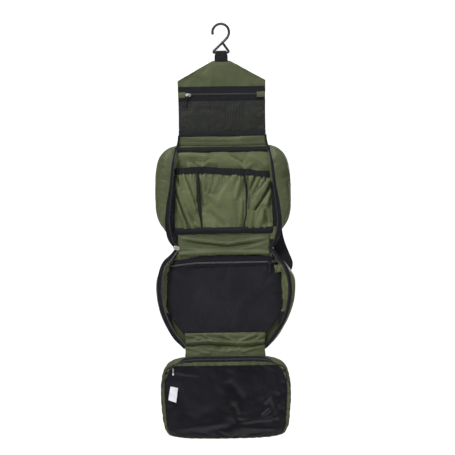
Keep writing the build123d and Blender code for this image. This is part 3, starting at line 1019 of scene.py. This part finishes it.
back_chain = outline_chain(UPPER_PANEL, [16, 26, 20, 24, 18], 150)
upper_back = pillow("upper_back_padding", back_chain, 8.6, 1.2, GREEN, 21)
put(upper_back, "upper_shell", "upper_back_panel")
edge_piping("upper_back_piping", back_chain, 4.8, 1.3, "upper_shell")

for side, word in SIDES:
    edge = Side(
        side, UPPER_BACK, [0, 22, 26, 30, 26, 18, 0], UPPER_RIM, [0, 20, 30, 30, 16, 14, 0],
        upper_rim_y, upper_back_y, upper_reach, 170,
    )
    wall = tray_side("upper", word, edge, UPPER_FOLD, UPPER_CUT, UPPER_END, 31 + side, 2.2, DARK_COIL)

    def sway(along, v, side=side):
        return Vector((side * 1.5 * ripple(along, v * 20, 14, 41 + side), 0, 0))

    def foot_at(rim):
        return min(abs(rim.x), upper_foot(rim.z))

    lining = edge.lining(f"upper_lining_{word}", 8, -2.5, foot_at, sway, 2.0)
    # Painted shade: the upper linings turn black where they lie in shadow between the pockets and the zip.
    for low, high in ((300, 384), (408, 430)) if side > 0 else ((286, 430),):
        blacken_between(lining, low, high)
    bend(lining, *UPPER_FOLD, UPPER_CUT, UPPER_END)

# ---- organiser
LINER_FOLDS = (
    (-37, 271, -50, 259, 2.4, 1.1), (-37, 271, -26, 258, 2.4, 1.2), (-37, 272, -36, 260, 1.8, 1.2),
    (43, 276, 27, 258, 3, 1.5), (43, 276, 58, 264, 3, 1.2), (43, 276, 42, 260, 1.8, 1.2),
    (-80, 246, -30, 250, 4, 1.4), (10, 246, 40, 262, 4, -1.6), (50, 250, 86, 268, 6, 1.5),
    (-86, 262, -50, 254, 4, -1.2),
)
TRAY_HALF, TRAY_FLOOR = 91.5, 386.5


def liner_point(u, v):
    depth = 236 + 162 * v
    x = (2 * u - 1) * (TRAY_HALF + 1.5 * ramp(depth, 250, 300))
    wrinkles = 0.9 * ripple(x, depth, 34, 51) - 0.5 * crease(x, depth * 1.6, 46, 52)
    y = -1.0 + ramp(depth, 240, 252) * wrinkles - folds(x, depth, LINER_FOLDS)
    return (x, min(y, 0.6), depth)


liner = patch(
    "organiser_liner_cloth", 90, 80, liner_point, GREEN_LINING, 0.8, slack=0.003, cap=0.9, bending=34
)
put(liner, "upper_shell", "organiser_liner")


def top_binding_point(u, v):
    x = (2 * u - 1) * TRAY_HALF
    depth = 231.4 + 10.4 * v + 0.5 * drift(u * 7, 0, 53)
    return (x, -1.2 - 1.7 * arch(v) ** 0.6 + 0.2 * ripple(x, depth, 8, 54), depth)


top_binding = patch("organiser_top_tape", 80, 10, top_binding_point, BLACK_BIND, 0.8)
top_line = [
    Vector((x, -3.35, 239.4 + 0.5 * drift((x + TRAY_HALF) / (2 * TRAY_HALF) * 7, 0, 53)))
    for x in range(-90, 91, 3)
]
seam = stitches("organiser_stitch", top_line, BLACK_TAPE, wide=0.5)
put(join("organiser_top_band", [top_binding, seam]), "upper_shell", "organiser_top_binding")

elastic_at = profile([(-92, 277), (-37, 274.8), (4, 278.2), (43, 280.0), (71, 284.2), (94, 284.5)])
ELASTIC_HALF, POCKET_START = 6.2, 5.4
SEAMS = (-90.5, -37.0, 43.0, 91.5)
SEAM_LINES = (
    profile([(0, -91.0), (1, -94.0)]),
    profile([(0, -48.0), (0.4, -46.5), (1, -41.5)]),
    profile([(0, 41.0), (0.35, 44.5), (0.7, 44.0), (1, 39.0)]),
    profile([(0, 92.0), (1, 95.0)]),
)


def elastic_y(x):
    """The elastic stands off the lining between the seams, and dips in to it at each one."""
    for left, right in zip(SEAMS, SEAMS[1:]):
        if left <= x <= right:
            return -3.6 - 5.4 * arch((x - left) / (right - left)) ** 0.6
    return -4.4


def elastic_point(u, v):
    x = -TRAY_HALF + 183.5 * u
    ruche = 0.45 * math.sin(x * 2 * math.pi / 3.1 + 2.2 * drift(x / 11, v * 2, 55))
    depth = elastic_at(x) + ELASTIC_HALF * (2 * v - 1) + 0.6 * drift(x / 8, v, 56)
    return (x, elastic_y(x) - 0.5 - ruche * (0.45 + 0.55 * arch(v)), depth)


elastic = patch("organiser_elastic_band", 300, 10, elastic_point, ELASTIC, 1.1)
put(elastic, "upper_shell", "organiser_elastic")

# Each pocket: its name, noise seed, how high its folds and its middle stand, cloth taken up by its gathers,
# where it is fullest across, and its folds.
POCKETS = (
    ("left", 61, 1.5, 2.4, 18, 1, [
        (-92, 296, -58, 384, 4.4, 6.0), (-90, 330, -70, 386, 4.0, 4.0), (-76, 286, -52, 352, 4.2, 5.0),
        (-62, 286, -53, 330, 3.4, 4.0), (-84, 286, -78, 310, 3.0, 3.0), (-76, 340, -56, 376, 5.0, -4.0),
        (-95, 304, -64, 390, 2.4, -4.6), (-70, 290, -50, 344, 2.2, -3.4),
    ]),
    ("middle", 62, 1.5, 2.4, 8, 1, [
        (-40, 288, -34, 340, 4.2, 4.4), (-22, 286, -30, 322, 3.4, 4.0), (-6, 286, -18, 316, 3.6, 3.4),
        (24, 286, -10, 340, 5.6, 5.4), (-10, 340, -26, 324, 4.0, 4.4), (34, 290, 24, 330, 4.0, 4.0),
        (10, 322, 24, 376, 6.0, 3.6), (-30, 352, 2, 380, 6.0, -3.0), (38, 330, 32, 382, 4.4, 3.4),
        (8, 288, 14, 306, 3.0, 2.4), (-43, 296, -38, 356, 2.4, -4.0), (40, 296, 38, 372, 2.4, -3.6),
        (-24, 290, -34, 318, 2.0, -2.4), (16, 300, -2, 326, 2.6, -2.6),
    ]),
    ("right", 63, 1.9, 1.4, 17, 0.6, [
        (90, 294, 56, 346, 4.6, 6.4), (56, 346, 50, 384, 4.2, 4.4), (92, 316, 66, 384, 5.0, 3.6),
        (70, 288, 50, 326, 3.6, 4.4), (56, 286, 49, 306, 3.0, 3.2), (80, 288, 70, 308, 3.0, 3.2),
        (78, 344, 84, 380, 6.0, -3.0), (92, 304, 60, 352, 2.4, -5.0), (47, 292, 50, 352, 2.4, -4.6),
        (62, 290, 50, 318, 2.0, -2.6),
    ]),
)
for (word, seed, boldness, belly, gather, lean, creases), left_line, right_line in zip(
    POCKETS, SEAM_LINES, SEAM_LINES[1:]
):
    def pocket_point(u, v):
        left, right = left_line(v), right_line(v)
        x = left + u * (right - left)
        top = elastic_at(x) + POCKET_START
        depth = top + (TRAY_FLOOR - top) * v
        bag = arch(u ** lean) ** 0.5
        y = (elastic_y(x) + 1.6) * (1 - v) + (-1.8 - 3.2 * bag) * v - belly * bag * bag * arch(v) ** 0.8
        slanting = crease(x + depth * 0.4, depth * 0.5, 22, seed + 4)
        y += (1.1 * ripple(x, depth, 24, seed) - 0.5 * slanting) * bag
        y -= boldness * folds(x, depth, creases, 0.85) * (0.2 + 0.8 * bag)
        wander = 2.5 * drift(x / 9, v * 3, seed)
        y += 1.2 * math.sin(x * 2 * math.pi / 6.6 + wander) * (1 - ramp(v, 0.02, 0.3))
        y += math.sin((x - left) * 2 * math.pi / 13.5 + wander) * ramp(v, 0.86, 1.0) * bag
        return (x, min(soften(y, -8.0, 3.0), -1.0), depth)

    pocket = patch(
        f"organiser_pocket_cloth_{word}", 60, 80, pocket_point, GREEN_LINING, 0.6,
        slack=0.006, cap=1.0, bending=40,
    )
    put(pocket, "upper_shell", f"organiser_pocket_{word}")
    wide = right_line(0.5) - left_line(0.5) + gather

# Seam tapes down the pockets' sides. Where a tape swells in the middle into a black lens, that black is
# painted shade for the deep fold between two pockets.
seam_and_shade_parts = []
for k, (line, stand, painted_shade_swell) in enumerate(zip(SEAM_LINES, (1.0, 0.2, 0.2, 1.0), (0.0, 1.2, 0.2, 0.0))):
    steps = [m / 30 for m in range(31)]
    top_y = elastic_y(line(0)) + stand
    chain = [
        Vector((line(v) + 0.5 * drift(v * 5, k, 57), top_y * (1 - v) - 2.6 * v, 281 + 105 * v))
        for v in steps
    ]
    swell = [0.75 + painted_shade_swell * arch(v ** 0.8) for v in steps]
    seam_and_shade_parts.append(tube("seam", chain, 1.9, BLACK_BIND, swell=swell))
    seam_and_shade_parts.append(stitches("seam_stitch", moved(chain, -2.2), BLACK_TAPE, 3.0, 2.0, 0.5))
put(join("organiser_seam_tapes_and_painted_shade", seam_and_shade_parts), "upper_shell", "organiser_seams")


def bottom_binding_point(u, v):
    x = (2 * u - 1) * 93.5
    depth = 384.6 + 12.2 * v + 0.8 * drift(u * 5, 0, 58)
    y = -3.2 - 4.2 * arch(min(1, v + 0.12)) ** 0.6 + 0.3 * ripple(x, depth, 9, 59)
    return (x, y * (1 - 0.3 * abs(2 * u - 1) ** 4), depth)


bottom = patch("organiser_bottom_tape", 90, 12, bottom_binding_point, BLACK_BIND, 0.8)
bottom_line = moved([bottom_binding_point(k / 60, 0.62) for k in range(61)], -0.55)
seam = stitches("organiser_stitch", bottom_line, BLACK_TAPE, wide=0.5)
put(join("organiser_bottom_band", [bottom, seam]), "upper_shell", "organiser_bottom_binding")

# ---- spine
def spine_y(x, depth):
    """Slack cloth between the trays: a fold across it that dips in the middle, and softer ones under it."""
    across = 1 - abs(x / (SPINE_HALF + 3)) ** 4
    below = depth - (415.5 - 0.13 * abs(x - 5))
    y = -1.8 + 0.8 * ripple(x, depth, 40, 71) - 0.3 * crease(x * 0.5, depth, 24, 72)
    y += across * (2.4 * bell(below - 4.6, 1.9) - 4.2 * bell(below, 2.2))
    y -= 4.2 * across * bell(depth - 431.0 - 0.02 * abs(x), 3.0)
    y -= 1.3 * fold(x, depth, (-80, 424), (-20, 431), 3) + 1.2 * fold(x, depth, (76, 418), (30, 428), 3)
    return min(y, 0.4) * ramp(depth, 392, 400) - 3.0 * ramp(depth, 430, 437)


def spine_cloth(word, rows, low, high, bodies, start, stop, **crumpling):
    def point(u, v):
        depth = low + (high - low) * v
        x = (2 * u - 1) * (SPINE_HALF + 2.6)
        return (x, spine_y(x, depth), depth)

    made = patch(f"spine_cloth_{word}", 110, rows, point, GREEN, 0.9, **crumpling)
    return bend(made, *bodies, start, stop, "spine_gusset")


LOWER_FOLD = ("spine", "lower_shell")
spine_up = spine_cloth("upper", 34, 395.0, SPINE_MID, UPPER_FOLD, 396, 405, slack=0.003, cap=0.8, bending=30)
spine_low = spine_cloth("lower", 24, SPINE_MID, 435.5, LOWER_FOLD, 439, 448)

for (side, word), x, turn, metal in zip(SIDES, (-90.0, 89.0), (18, 118), (NICKEL, BLACKENED)):
    slot = "main_slider_metal"
    slider = zip_slider(f"zip_slider_{word}", x, SPINE_MID, -5.0, 12.5, 8.2, math.radians(turn), metal, slot)
    put(slider, "spine", f"main_slider_{word}")
    pull = pull_tab(f"zip_pull_{word}", x, SPINE_MID + 1.5, 2.7, 18, 5.4, metal, slot)
    put(pull, f"main_pull_{word}", f"main_pull_{word}")

    def zip_end_point(u, v, side=side):
        return (side * (85 + 8.5 * u), 0.4 + 0.5 * math.sin(v * 9) * u, 405 + 35 * v)

    put(patch(f"zip_end_{word}", 10, 24, zip_end_point, BLACK_TAPE, 0.9), "spine", "spine_zip_ends")

# ---- lower tray
LOWER_BACKS = {
    -1: [(92, 427), (100, 437), (128, 474), (128.5, 505), (123, 545), (100, 592), (74, 617)],
    1: [(92, 427), (101, 437), (134, 474), (134.5, 505), (127, 545), (100, 593), (74, 617)],
}
LOWER_RIMS = {
    -1: [
        (88.5, 424), (99, 440), (112, 452), (118.5, 471), (121, 490), (120.5, 517), (114, 552),
        (96, 589), (76, 612),
    ],
    1: [
        (88.5, 424), (99, 440), (111, 452), (120, 471), (124, 490), (124, 517), (115.5, 556),
        (95, 590), (76, 612),
    ],
}
LOWER_REACHES = {
    -1: profile([(424, 3.0), (452, 5.5), (590, 5.0), (611, 3.0)]),
    1: profile([(424, 3.0), (452, 3.0), (560, 3.0), (611, 2.4)]),
}
LOWER_PANEL = [(97, 445), (129, 474), (129, 505), (123, 547), (99, 592), (72, 619)]
LOWER_CUT, LOWER_END = 429, 452
PANEL_SHIFT = 2.0
lower_rim_y = profile([(424, -1.6), (446, -12), (470, -20.5), (524, -20.5), (570, -8), (612, -3.5)])
lower_back_y = profile([(427, 0.6), (450, 4), (474, 6.5), (560, 6.5), (612, 2.5)])
mesh_half = profile([(438, 92), (452, 103), (476, 109), (530, 111.5), (562, 103)])

panel_chain = outline_chain(LOWER_PANEL, [16, 24, 16, 22, 16, 10], 160)
back_chain = [p + Vector((PANEL_SHIFT, 0, 0)) for p in panel_chain]
lower_back = pillow("lower_back_padding", back_chain, 10.6, 4.4, GREEN, 81, shift=PANEL_SHIFT)
put(lower_back, "lower_shell", "lower_back_panel")
edge_piping("lower_back_piping", back_chain, 7.4, 1.3, "lower_shell")

for (side, word), coil_material in zip(SIDES, (COIL, DARK_COIL)):
    edge = Side(
        side, LOWER_BACKS[side], [0, 8, 34, 20, 30, 14, 0], LOWER_RIMS[side],
        [0, 10, 14, 20, 24, 30, 30, 24, 0], lower_rim_y, lower_back_y, LOWER_REACHES[side], 190,
    )
    wall = tray_side("lower", word, edge, LOWER_FOLD, LOWER_CUT, LOWER_END, 91 + side, 3.4, coil_material)

    def sway(along, v, side=side):
        out = side * 2.0 * ripple(along, v * 20, 13, 101 + side)
        return Vector((out, -ripple(along, v * 9, 7, 103), 0))

    def foot_at(rim):
        return min(mesh_half(rim.z), abs(rim.x)) - 1.5

    lining = edge.lining(f"lower_lining_{word}", 10, -2.2, foot_at, sway, 2.5)
    blacken_between(lining, 0, 444)
    blacken_between(lining, 545)
    bend(lining, *LOWER_FOLD, LOWER_CUT, LOWER_END)

MESH_FOLDS = (
    (-98, 466, -40, 575, 6, 3.0), (104, 478, 34, 530, 6, 3.2), (34, 530, 16, 584, 7, 2.6),
    (-60, 462, 20, 560, 8, -2.4), (84, 462, 56, 510, 6, 2.2), (96, 520, 40, 584, 6, 2.6),
    (-104, 520, -60, 584, 6, 2.4),
)


def mesh_panel_point(u, v):
    depth = 452.5 + 134.5 * v
    x = (2 * u - 1) * min(mesh_half(depth), 110 - (depth - 545) * 0.76)
    full = (1 - abs(2 * u - 1) ** 5) * arch(min(1, 0.03 + v * 0.97)) ** 0.5
    wrinkles = 0.7 * ripple(x, depth, 52, 111) - 0.4 * crease(x, depth, 40, 112)
    y = -1.2 - 0.8 * full * ramp(v, 0, 0.5) + full * (wrinkles - folds(x, depth, MESH_FOLDS))
    return (x, min(soften(y, -2.0, 1.4), 0.0), depth)


mesh_panel = patch(
    "mesh_pocket_cloth", 110, 76, mesh_panel_point, TRAY_MESH, 0.5, slack=0.006, cap=0.8, bending=24
)
put(mesh_panel, "lower_shell", "mesh_pocket_panel")

top_half = profile([(428, 86), (440, 96), (455, 109)])


def top_strip_point(u, v):
    depth = 432.5 + 22 * v + drift(u * 9, 0, 117) * (1 - v)
    x = (2 * u - 1) * (top_half(depth) - 2.5)
    gather = 0.7 * math.sin(x * 2 * math.pi / 5.4 + 2 * drift(x / 12, 0, 118))
    y = -1.2 + 0.4 * v + gather * (1 - ramp(v, 0.15, 0.6)) + 0.5 * crease(x, depth, 15, 119)
    return (x, y - 1.2 * bell(v, 0.16), depth)


STRIP_CUT, STRIP_END = 438, 449
strip = patch("lower_top_strip", 220, 18, top_strip_point, GREEN_LINING, 0.7)
bend(strip, *LOWER_FOLD, STRIP_CUT, STRIP_END)
mesh_tape_top = profile([(-99, 446.0), (-30, 438.4), (60, 437.8), (98, 441.5)])
mesh_zip_at = profile([(-104, 456.5), (-46, 451.6), (49, 451.2), (100, 450.6)])


def mesh_tape_point(u, v):
    x = -97 + 192 * u
    low = mesh_tape_top(x) + 0.8 * drift(x / 18, 0, 113)
    depth = low + (mesh_zip_at(x) - 1.2 - low) * v
    return (x, -2.8 + 0.4 * (1 - v) - 0.5 * arch(v) + 0.3 * ripple(x, depth, 12, 114), depth)


def mesh_under_point(u, v):
    x = -100 + 199 * u
    return (x, -2.2 + 0.3 * ripple(200 * u, 0, 14, 115), mesh_zip_at(x) + 1.2 + 5.6 * v)


def mesh_tab_point(u, v):
    y = -4.4 - 1.6 * arch(v) - 0.9 * math.sin(math.pi * u * 2.3 + v * 4)
    return (96.5 + 14.5 * u + 3.0 * (v - 0.5), y, 456.5 + 14 * v - 3.0 * (u - 0.5))


mesh_tape = patch("mesh_tape", 96, 8, mesh_tape_point, BLACK_TAPE, 0.8)
seam = stitches("mesh_tape_stitch", moved([mesh_tape_point(k / 70, 0.3) for k in range(71)], -0.65))
bend(join("mesh_zip_tape", [mesh_tape, seam]), *LOWER_FOLD, STRIP_CUT, STRIP_END, "mesh_pocket_zip_tape")
put(patch("mesh_zip_lower_tape", 96, 5, mesh_under_point, BLACK_TAPE, 0.8), "lower_shell")
zip_line = [Vector((x, -3.1, mesh_zip_at(x))) for x in range(-102, 100, 3)]
put(coil("mesh_zip_coil", zip_line, 1.7, COIL), "lower_shell", "mesh_pocket_zip_coil")
put(patch("mesh_zip_tab", 12, 12, mesh_tab_point, GREEN_LINING, 1.1), "lower_shell", "mesh_zip_end_tab")
slider = zip_slider("mesh_zip_slider", 86, 451.6, -7.0, 9.5, 5.6, 0.0, BLACKENED)
put(slider, "mesh_slider", "mesh_pocket_slider")
put(pull_tab("mesh_zip_pull", 86, 454.0, -6.4, 17.0, 4.4, BLACKENED), "mesh_pull", "mesh_pocket_pull")


def lower_lining_point(u, v):
    x, depth = (2 * u - 1) * 72, 584 + 30 * v
    return (x, 2.6 + 0.5 * ripple(x, depth, 20, 116), depth)


lower_lining = patch("lower_lining_cloth", 50, 20, lower_lining_point, BLACK_BIND, 0.8, "black_lining")
put(lower_lining, "lower_shell", "lower_lining")

# ---- band between the lower tray and the pouch
BAND_TOP, BAND_BOTTOM = 584.5, 629.5
BAND_FOLDS = [
    (x0, d0, x1, d1, 2.6, height)
    for x0, d0, x1, d1, height in (
        (-72, 588, -34, 600, 3.0), (-40, 590, -14, 603, 2.6), (-8, 588, 20, 601, 3.0),
        (26, 601, 58, 588, 3.2), (50, 603, 72, 592, 2.6), (-70, 600, -46, 594, 2.4),
        (-74, 612, -30, 624, 1.6), (76, 608, 30, 622, 1.6),
    )
]


def band_point(u, v):
    depth = BAND_TOP + (BAND_BOTTOM - BAND_TOP) * v
    x = (2 * u - 1) * (76.6 - 1.6 * arch(v))
    lip = 602 + 2.0 * math.sin(x / 21) + 1.5 * drift(x / 13, 0, 123)
    y = -2.4 - 1.2 * ramp(depth, 588, 604) - 4.4 * ramp(depth, 606, 629)
    y -= 5.4 * bell(depth - lip, 2.6) - 2.4 * bell(depth - lip - 5.5, 2.2)
    y -= 2.0 * bell(depth - 589 - 2.0 * math.sin(x / 27), 3.0)
    y += 0.8 * ripple(x, depth, 24, 121) - 0.6 * crease(x, depth * 1.3, 22, 122)
    y -= folds(x, depth, BAND_FOLDS) + 1.6 * bell(depth - 620 + 0.10 * abs(x - 4), 2.6)
    return (x, y, depth)


band = patch("band_cloth", 100, 44, band_point, GREEN, 0.9, slack=0.004, cap=1.0, bending=30)
bend(band, "lower_shell", "pouch", 605, 629, "lower_band", "pouch_tab")

# ---- pouch
POUCH = [(76, 628), (115.5, 640), (124.5, 694), (116.5, 774), (90, 781.5), (50, 784)]
POUCH_ROUND = [26, 30, 50, 26, 24, 30]
POUCH_BACK = [(75, 629.5), (114.5, 642), (123, 695), (115.5, 772.5), (89, 780), (50, 782.5)]
FRAME = [(106, 646), (114, 655), (115.5, 700), (110.5, 771.5), (90, 778.5), (50, 781)]
FRAME_ROUND = [7, 8, 30, 20, 20, 24]
POUCH_CENTRE = Vector((0, 0, 706))
POUCH_FRONT, FILM_LIMIT = -20.0, -22.7
COUNT = 260
outer = outline_chain(POUCH, POUCH_ROUND, COUNT)
window = outline_chain(FRAME, FRAME_ROUND, 2400)
inner = [min(window, key=lambda q: (q - p).length) for p in outer]


def inward(k, distance):
    """A point distance mm in from the pouch's outline at its point k."""
    tangent = outer[(k + 1) % COUNT] - outer[k - 1]
    across = Vector((tangent.z, 0, -tangent.x)).normalized()
    return outer[k] + (across if across.dot(POUCH_CENTRE - outer[k]) > 0 else -across) * distance


def corner(k):
    """1 round the pouch's upper corners, where green cloth shows outside the zip, and 0 elsewhere."""
    p = outer[k]
    return ramp(abs(p.x), 72, 98) * (1 - ramp(p.z, 655, 689))


def zip_start(k):
    return 0.6 + 7.0 * corner(k)


def zip_width(k):
    """The zip band's width: wide along the top, narrow round the corners and a mere edge lower down."""
    p = outer[k]
    if p.z > 700:
        return 0.9
    along_top = (1 - ramp(abs(p.x), 70, 100)) * (1 - ramp(p.z, 640, 660))
    return 1.0 + 1.2 * (1 - ramp(p.z, 670, 692)) + 7.6 * along_top


def pucker(k, v, seed):
    wave = math.sin(k * 2 * math.pi * 46 / COUNT + 3 * drift(k / 17, v, seed))
    return arch(v) * (0.55 * wave + 0.8 * ripple(k * 2.6, v * 10, 19, seed))


def ring_patch(name, rows, point, material, **crumpling):
    """A band that goes all round the pouch: point(k, v) at outline point k, v across the band."""
    def at(u, v):
        return point(round(u * COUNT) % COUNT, v)

    return patch(name, COUNT, rows, at, material, 0.9, round_u=True, **crumpling)


def wall_point(k, v):
    over = ease((v - 0.45) / 0.55)
    p = inward(k, 1.6 - 2.2 * arch(v) + zip_start(k) * over + 0.35 * pucker(k, v, 131))
    return Vector((p.x, -2.8 - 10.4 * v - 5.0 * corner(k) * over, p.z))


def zip_band_point(k, v):
    p = inward(k, zip_start(k) + zip_width(k) * v + 0.15 * pucker(k, v, 132))
    y0 = -12.8 - 5.0 * corner(k)
    return Vector((p.x, y0 + (POUCH_FRONT - y0) * math.sin(v * math.pi / 2), p.z))


def border_point(k, v):
    p = inward(k, zip_start(k) + zip_width(k) - 0.2).lerp(inner[k], v)
    roll = 1.2 * arch(min(1, v * 1.1)) ** 0.5
    return Vector((p.x, POUCH_FRONT + 0.3 - roll - pucker(k, v, 133), p.z))


wall = ring_patch("pouch_wall_cloth", 10, wall_point, GREEN, slack=0.02, cap=0.6)
put(wall, "pouch", "pouch_wall")

zipped = [k for k in range(COUNT) if outer[k].z < 689]
start = max(range(len(zipped)), key=lambda m: (zipped[m] - zipped[m - 1]) % COUNT)
zipped = zipped[start:] + zipped[:start]
bands = [ring_patch("pouch_band", 9, zip_band_point, BLACK_TAPE)]
for across in (0.22, 0.86):
    bands.append(stitches("pouch_stitch", moved([zip_band_point(k, across) for k in zipped], -0.6)))
put(join("pouch_zip_band", bands), "pouch")
teeth_line = moved([zip_band_point(k, 0.55) for k in zipped], -0.8)
put(coil("pouch_zip_coil", teeth_line, 1.2, DARK_COIL), "pouch")

border = ring_patch("pouch_border_cloth", 14, border_point, GREEN, slack=0.03, cap=1.0)
put(border, "pouch", "pouch_front_frame")
seams = []
for across in (0.9, 0.1):
    line = moved([border_point(k, across) for k in range(0, COUNT, 2)], -0.75)
    seams.append(stitches("pouch_stitch", line, GREEN_LINING, 3.0, 2.1, 0.5))
put(join("pouch_border_stitching", seams), "pouch")
edge_piping("pouch_window_piping", window[::12], -20.6, 0.9, "pouch")

FILM_FOLDS = (
    (-96, 656, -50, 663, 3.4, 1.2), (22, 744, 84, 749, 2.0, 2.6), (30, 753, 96, 744, 2.2, 2.6),
    (66, 742, 84, 728, 2.4, 2.8), (84, 700, 98, 746, 3.0, 2.4), (74, 716, 90, 692, 2.6, 2.2),
    (100, 716, 88, 742, 2.2, 2.0), (14, 720, 26, 754, 5.0, -1.8), (36, 764, 92, 766, 3.0, 1.4),
    (-90, 764, -10, 756, 5, 0.9), (6, 676, 34, 712, 8.0, -1.4), (92, 664, 100, 700, 4.0, 1.4),
)
film_rows = Rows(window)


def film_point(u, v):
    x, depth, edge = film_rows.place(u, v)
    full = 1 - edge ** 6
    wrinkles = 0.7 * ripple(x, depth, 60, 141)
    wrinkles += 0.45 * ramp(x + depth, 640, 800) * ripple(x, depth, 17, 142)
    y = POUCH_FRONT + full * (wrinkles - 0.8 - folds(x, depth, FILM_FOLDS))
    return (x, max(y, FILM_LIMIT), depth)


film = patch("pouch_window_film", 120, 76, film_point, FILM, 0.4, slack=0.002, cap=0.6, bending=30)
put(film, "pouch", "pouch_window")

lining_chain = outline_chain(FRAME, FRAME_ROUND, 120)
lining = pillow("pouch_lining_cloth", lining_chain, -4.0, -5.4, BLACK_BIND, 151, "black_lining", cap=0.5)
put(lining, "pouch", "pouch_lining")
pouch_chain = outline_chain(POUCH_BACK, POUCH_ROUND, 170)
pouch_back = pillow("pouch_back_cloth", pouch_chain, -0.9, -4.2, GREEN, 152)
put(pouch_back, "pouch", "pouch_back")
edge_piping("pouch_back_piping", pouch_chain, -2.7, 1.2, "pouch")


def label_point(u, v):
    top = Vector((-104.5, 0, 683)).lerp(Vector((-90, 0, 686)), u)
    bottom = Vector((-108.8, 0, 708.5)).lerp(Vector((-94, 0, 714)), u)
    p = top.lerp(bottom, v)
    return (p.x, -23.0 - 1.4 * v * v - 0.7 * arch(u) - 0.3 * math.sin(v * 9 + u * 3), p.z)


label = patch("care_label_cloth", 20, 32, label_point, LABEL, 0.35)
put(label, "pouch", "care_label")
slider = zip_slider("pouch_zip_slider", -100, 646.0, -22.2, 9.0, 5.4, math.radians(-38), BLACKENED)
put(slider, "pouch", "pouch_slider")
put(pull_tab("pouch_zip_pull", -99, 650.0, -22.4, 12.5, 3.4, SILVER), "pouch_pull", "pouch_pull")

# ---- carry strap
STRAP_ROUTE = [(98, 380), (102, 412), (120, 456), (104, 494), (66, 478), (56, 380)]
STRAP_WIDTH, STRAP_STEPS = 24.6, 150
strap_line = route(STRAP_ROUTE, [0, 30, 6, 16, 22, 0], STRAP_STEPS, steps=16)


def strap_point(u, v):
    i = round(v * STRAP_STEPS)
    ahead = strap_line[min(i + 1, STRAP_STEPS)] - strap_line[max(i - 1, 0)]
    side = Vector((ahead.z, 0, -ahead.x)).normalized()
    p = strap_line[i] + side * ((u - 0.5) * STRAP_WIDTH)
    bow = 0.7 * math.sin(v * 9) + 0.5 * drift(v * 6, u, 161)
    return Vector((p.x, 12.6 + 1.9 * ramp(v, 0.30, 0.40) + bow * arch(v), p.z))


strap = patch("carry_strap_webbing", 12, STRAP_STEPS, strap_point, BLACK_WEB, 1.7)
put(strap, "strap", "carry_strap")
anchors = []
for middle in (98, 56):
    def anchor_point(u, v):
        return (middle + STRAP_WIDTH * (u - 0.5), 10.4 + 0.4 * arch(v), 352 + 33 * v)

    anchors.append(patch("anchor", 12, 16, anchor_point, BLACK_WEB, 1.8))
    box = [(-9.5, 356), (9.5, 356), (9.5, 378), (-9.5, 378), (-9.5, 356), (9.5, 378)]
    line = [Vector((middle + x, 11.55, depth)) for x, depth in box]
    anchors.append(stitches("anchor_stitch", line, BLACK_TAPE, wide=0.6))
put(join("strap_anchor_patches", anchors), "upper_shell", "strap_anchors")

# ---- stage, lights and camera
pale = Nodes("stage").done((0.92, 0.92, 0.92), 0.9, Emission_Color=(1, 1, 1, 1), Emission_Strength=0.35)
glow = Nodes("studio_glow").done((0.9, 0.9, 0.9), 1.0, Emission_Color=(1, 1, 1, 1), Emission_Strength=0.95)
bpy.ops.mesh.primitive_plane_add(size=5, location=(0, 0, -1.25))
floor = bpy.context.object
bpy.ops.mesh.primitive_uv_sphere_add(segments=48, ring_count=24, radius=7)
dome = bpy.context.object
for made, material in ((floor, pale), (dome, glow)):
    made.data.materials.append(material)
floor.name, dome.name = "floor", "backdrop"
dome.visible_diffuse = dome.visible_glossy = dome.visible_shadow = False


def area_light(name, place, size, power, aim=(0, 0, -0.4)):
    data = bpy.data.lights.new(name, "AREA")
    data.shape = "RECTANGLE"
    data.size, data.size_y = size
    data.energy = power
    made = link(name, data)
    made.location = place
    made.rotation_euler = (Vector(aim) - Vector(place)).to_track_quat("-Z", "Y").to_euler()


area_light("key", (-1.1, -1.4, 1.25), (0.5, 0.5), 42)
area_light("fill", (1.9, -1.6, 0.2), (0.8, 1.2), 8)
area_light("top", (0.1, -0.7, 1.4), (1.0, 0.4), 12)
area_light("back", (0.9, 2.0, 0.3), (1.0, 1.0), 26)
area_light("floor_light", (0, -0.2, 3.0), (5, 5), 60, (0, 0, -1.2))

world = bpy.data.worlds.new("studio")
bpy.context.scene.world = world
world.use_nodes = True
world.node_tree.nodes["Background"].inputs[0].default_value = (1, 1, 1, 1)
world.node_tree.nodes["Background"].inputs[1].default_value = 0.09

CAMERA_PLACE, LENS = (0.0075, -3, -0.3849), 124.9
roll = math.radians(0.83)
camera_data = bpy.data.cameras.new("camera")
camera_data.lens = LENS
camera = link("camera", camera_data)
right = Vector((math.cos(roll), 0, -math.sin(roll)))
up = Vector((math.sin(roll), 0, math.cos(roll)))
back = Vector((0, -1, 0))
turn = Matrix((right, up, back)).transposed().to_4x4()
camera.matrix_world = Matrix.Translation(CAMERA_PLACE) @ turn
bpy.context.scene.camera = camera
bpy.context.scene.view_settings.view_transform = "Standard"
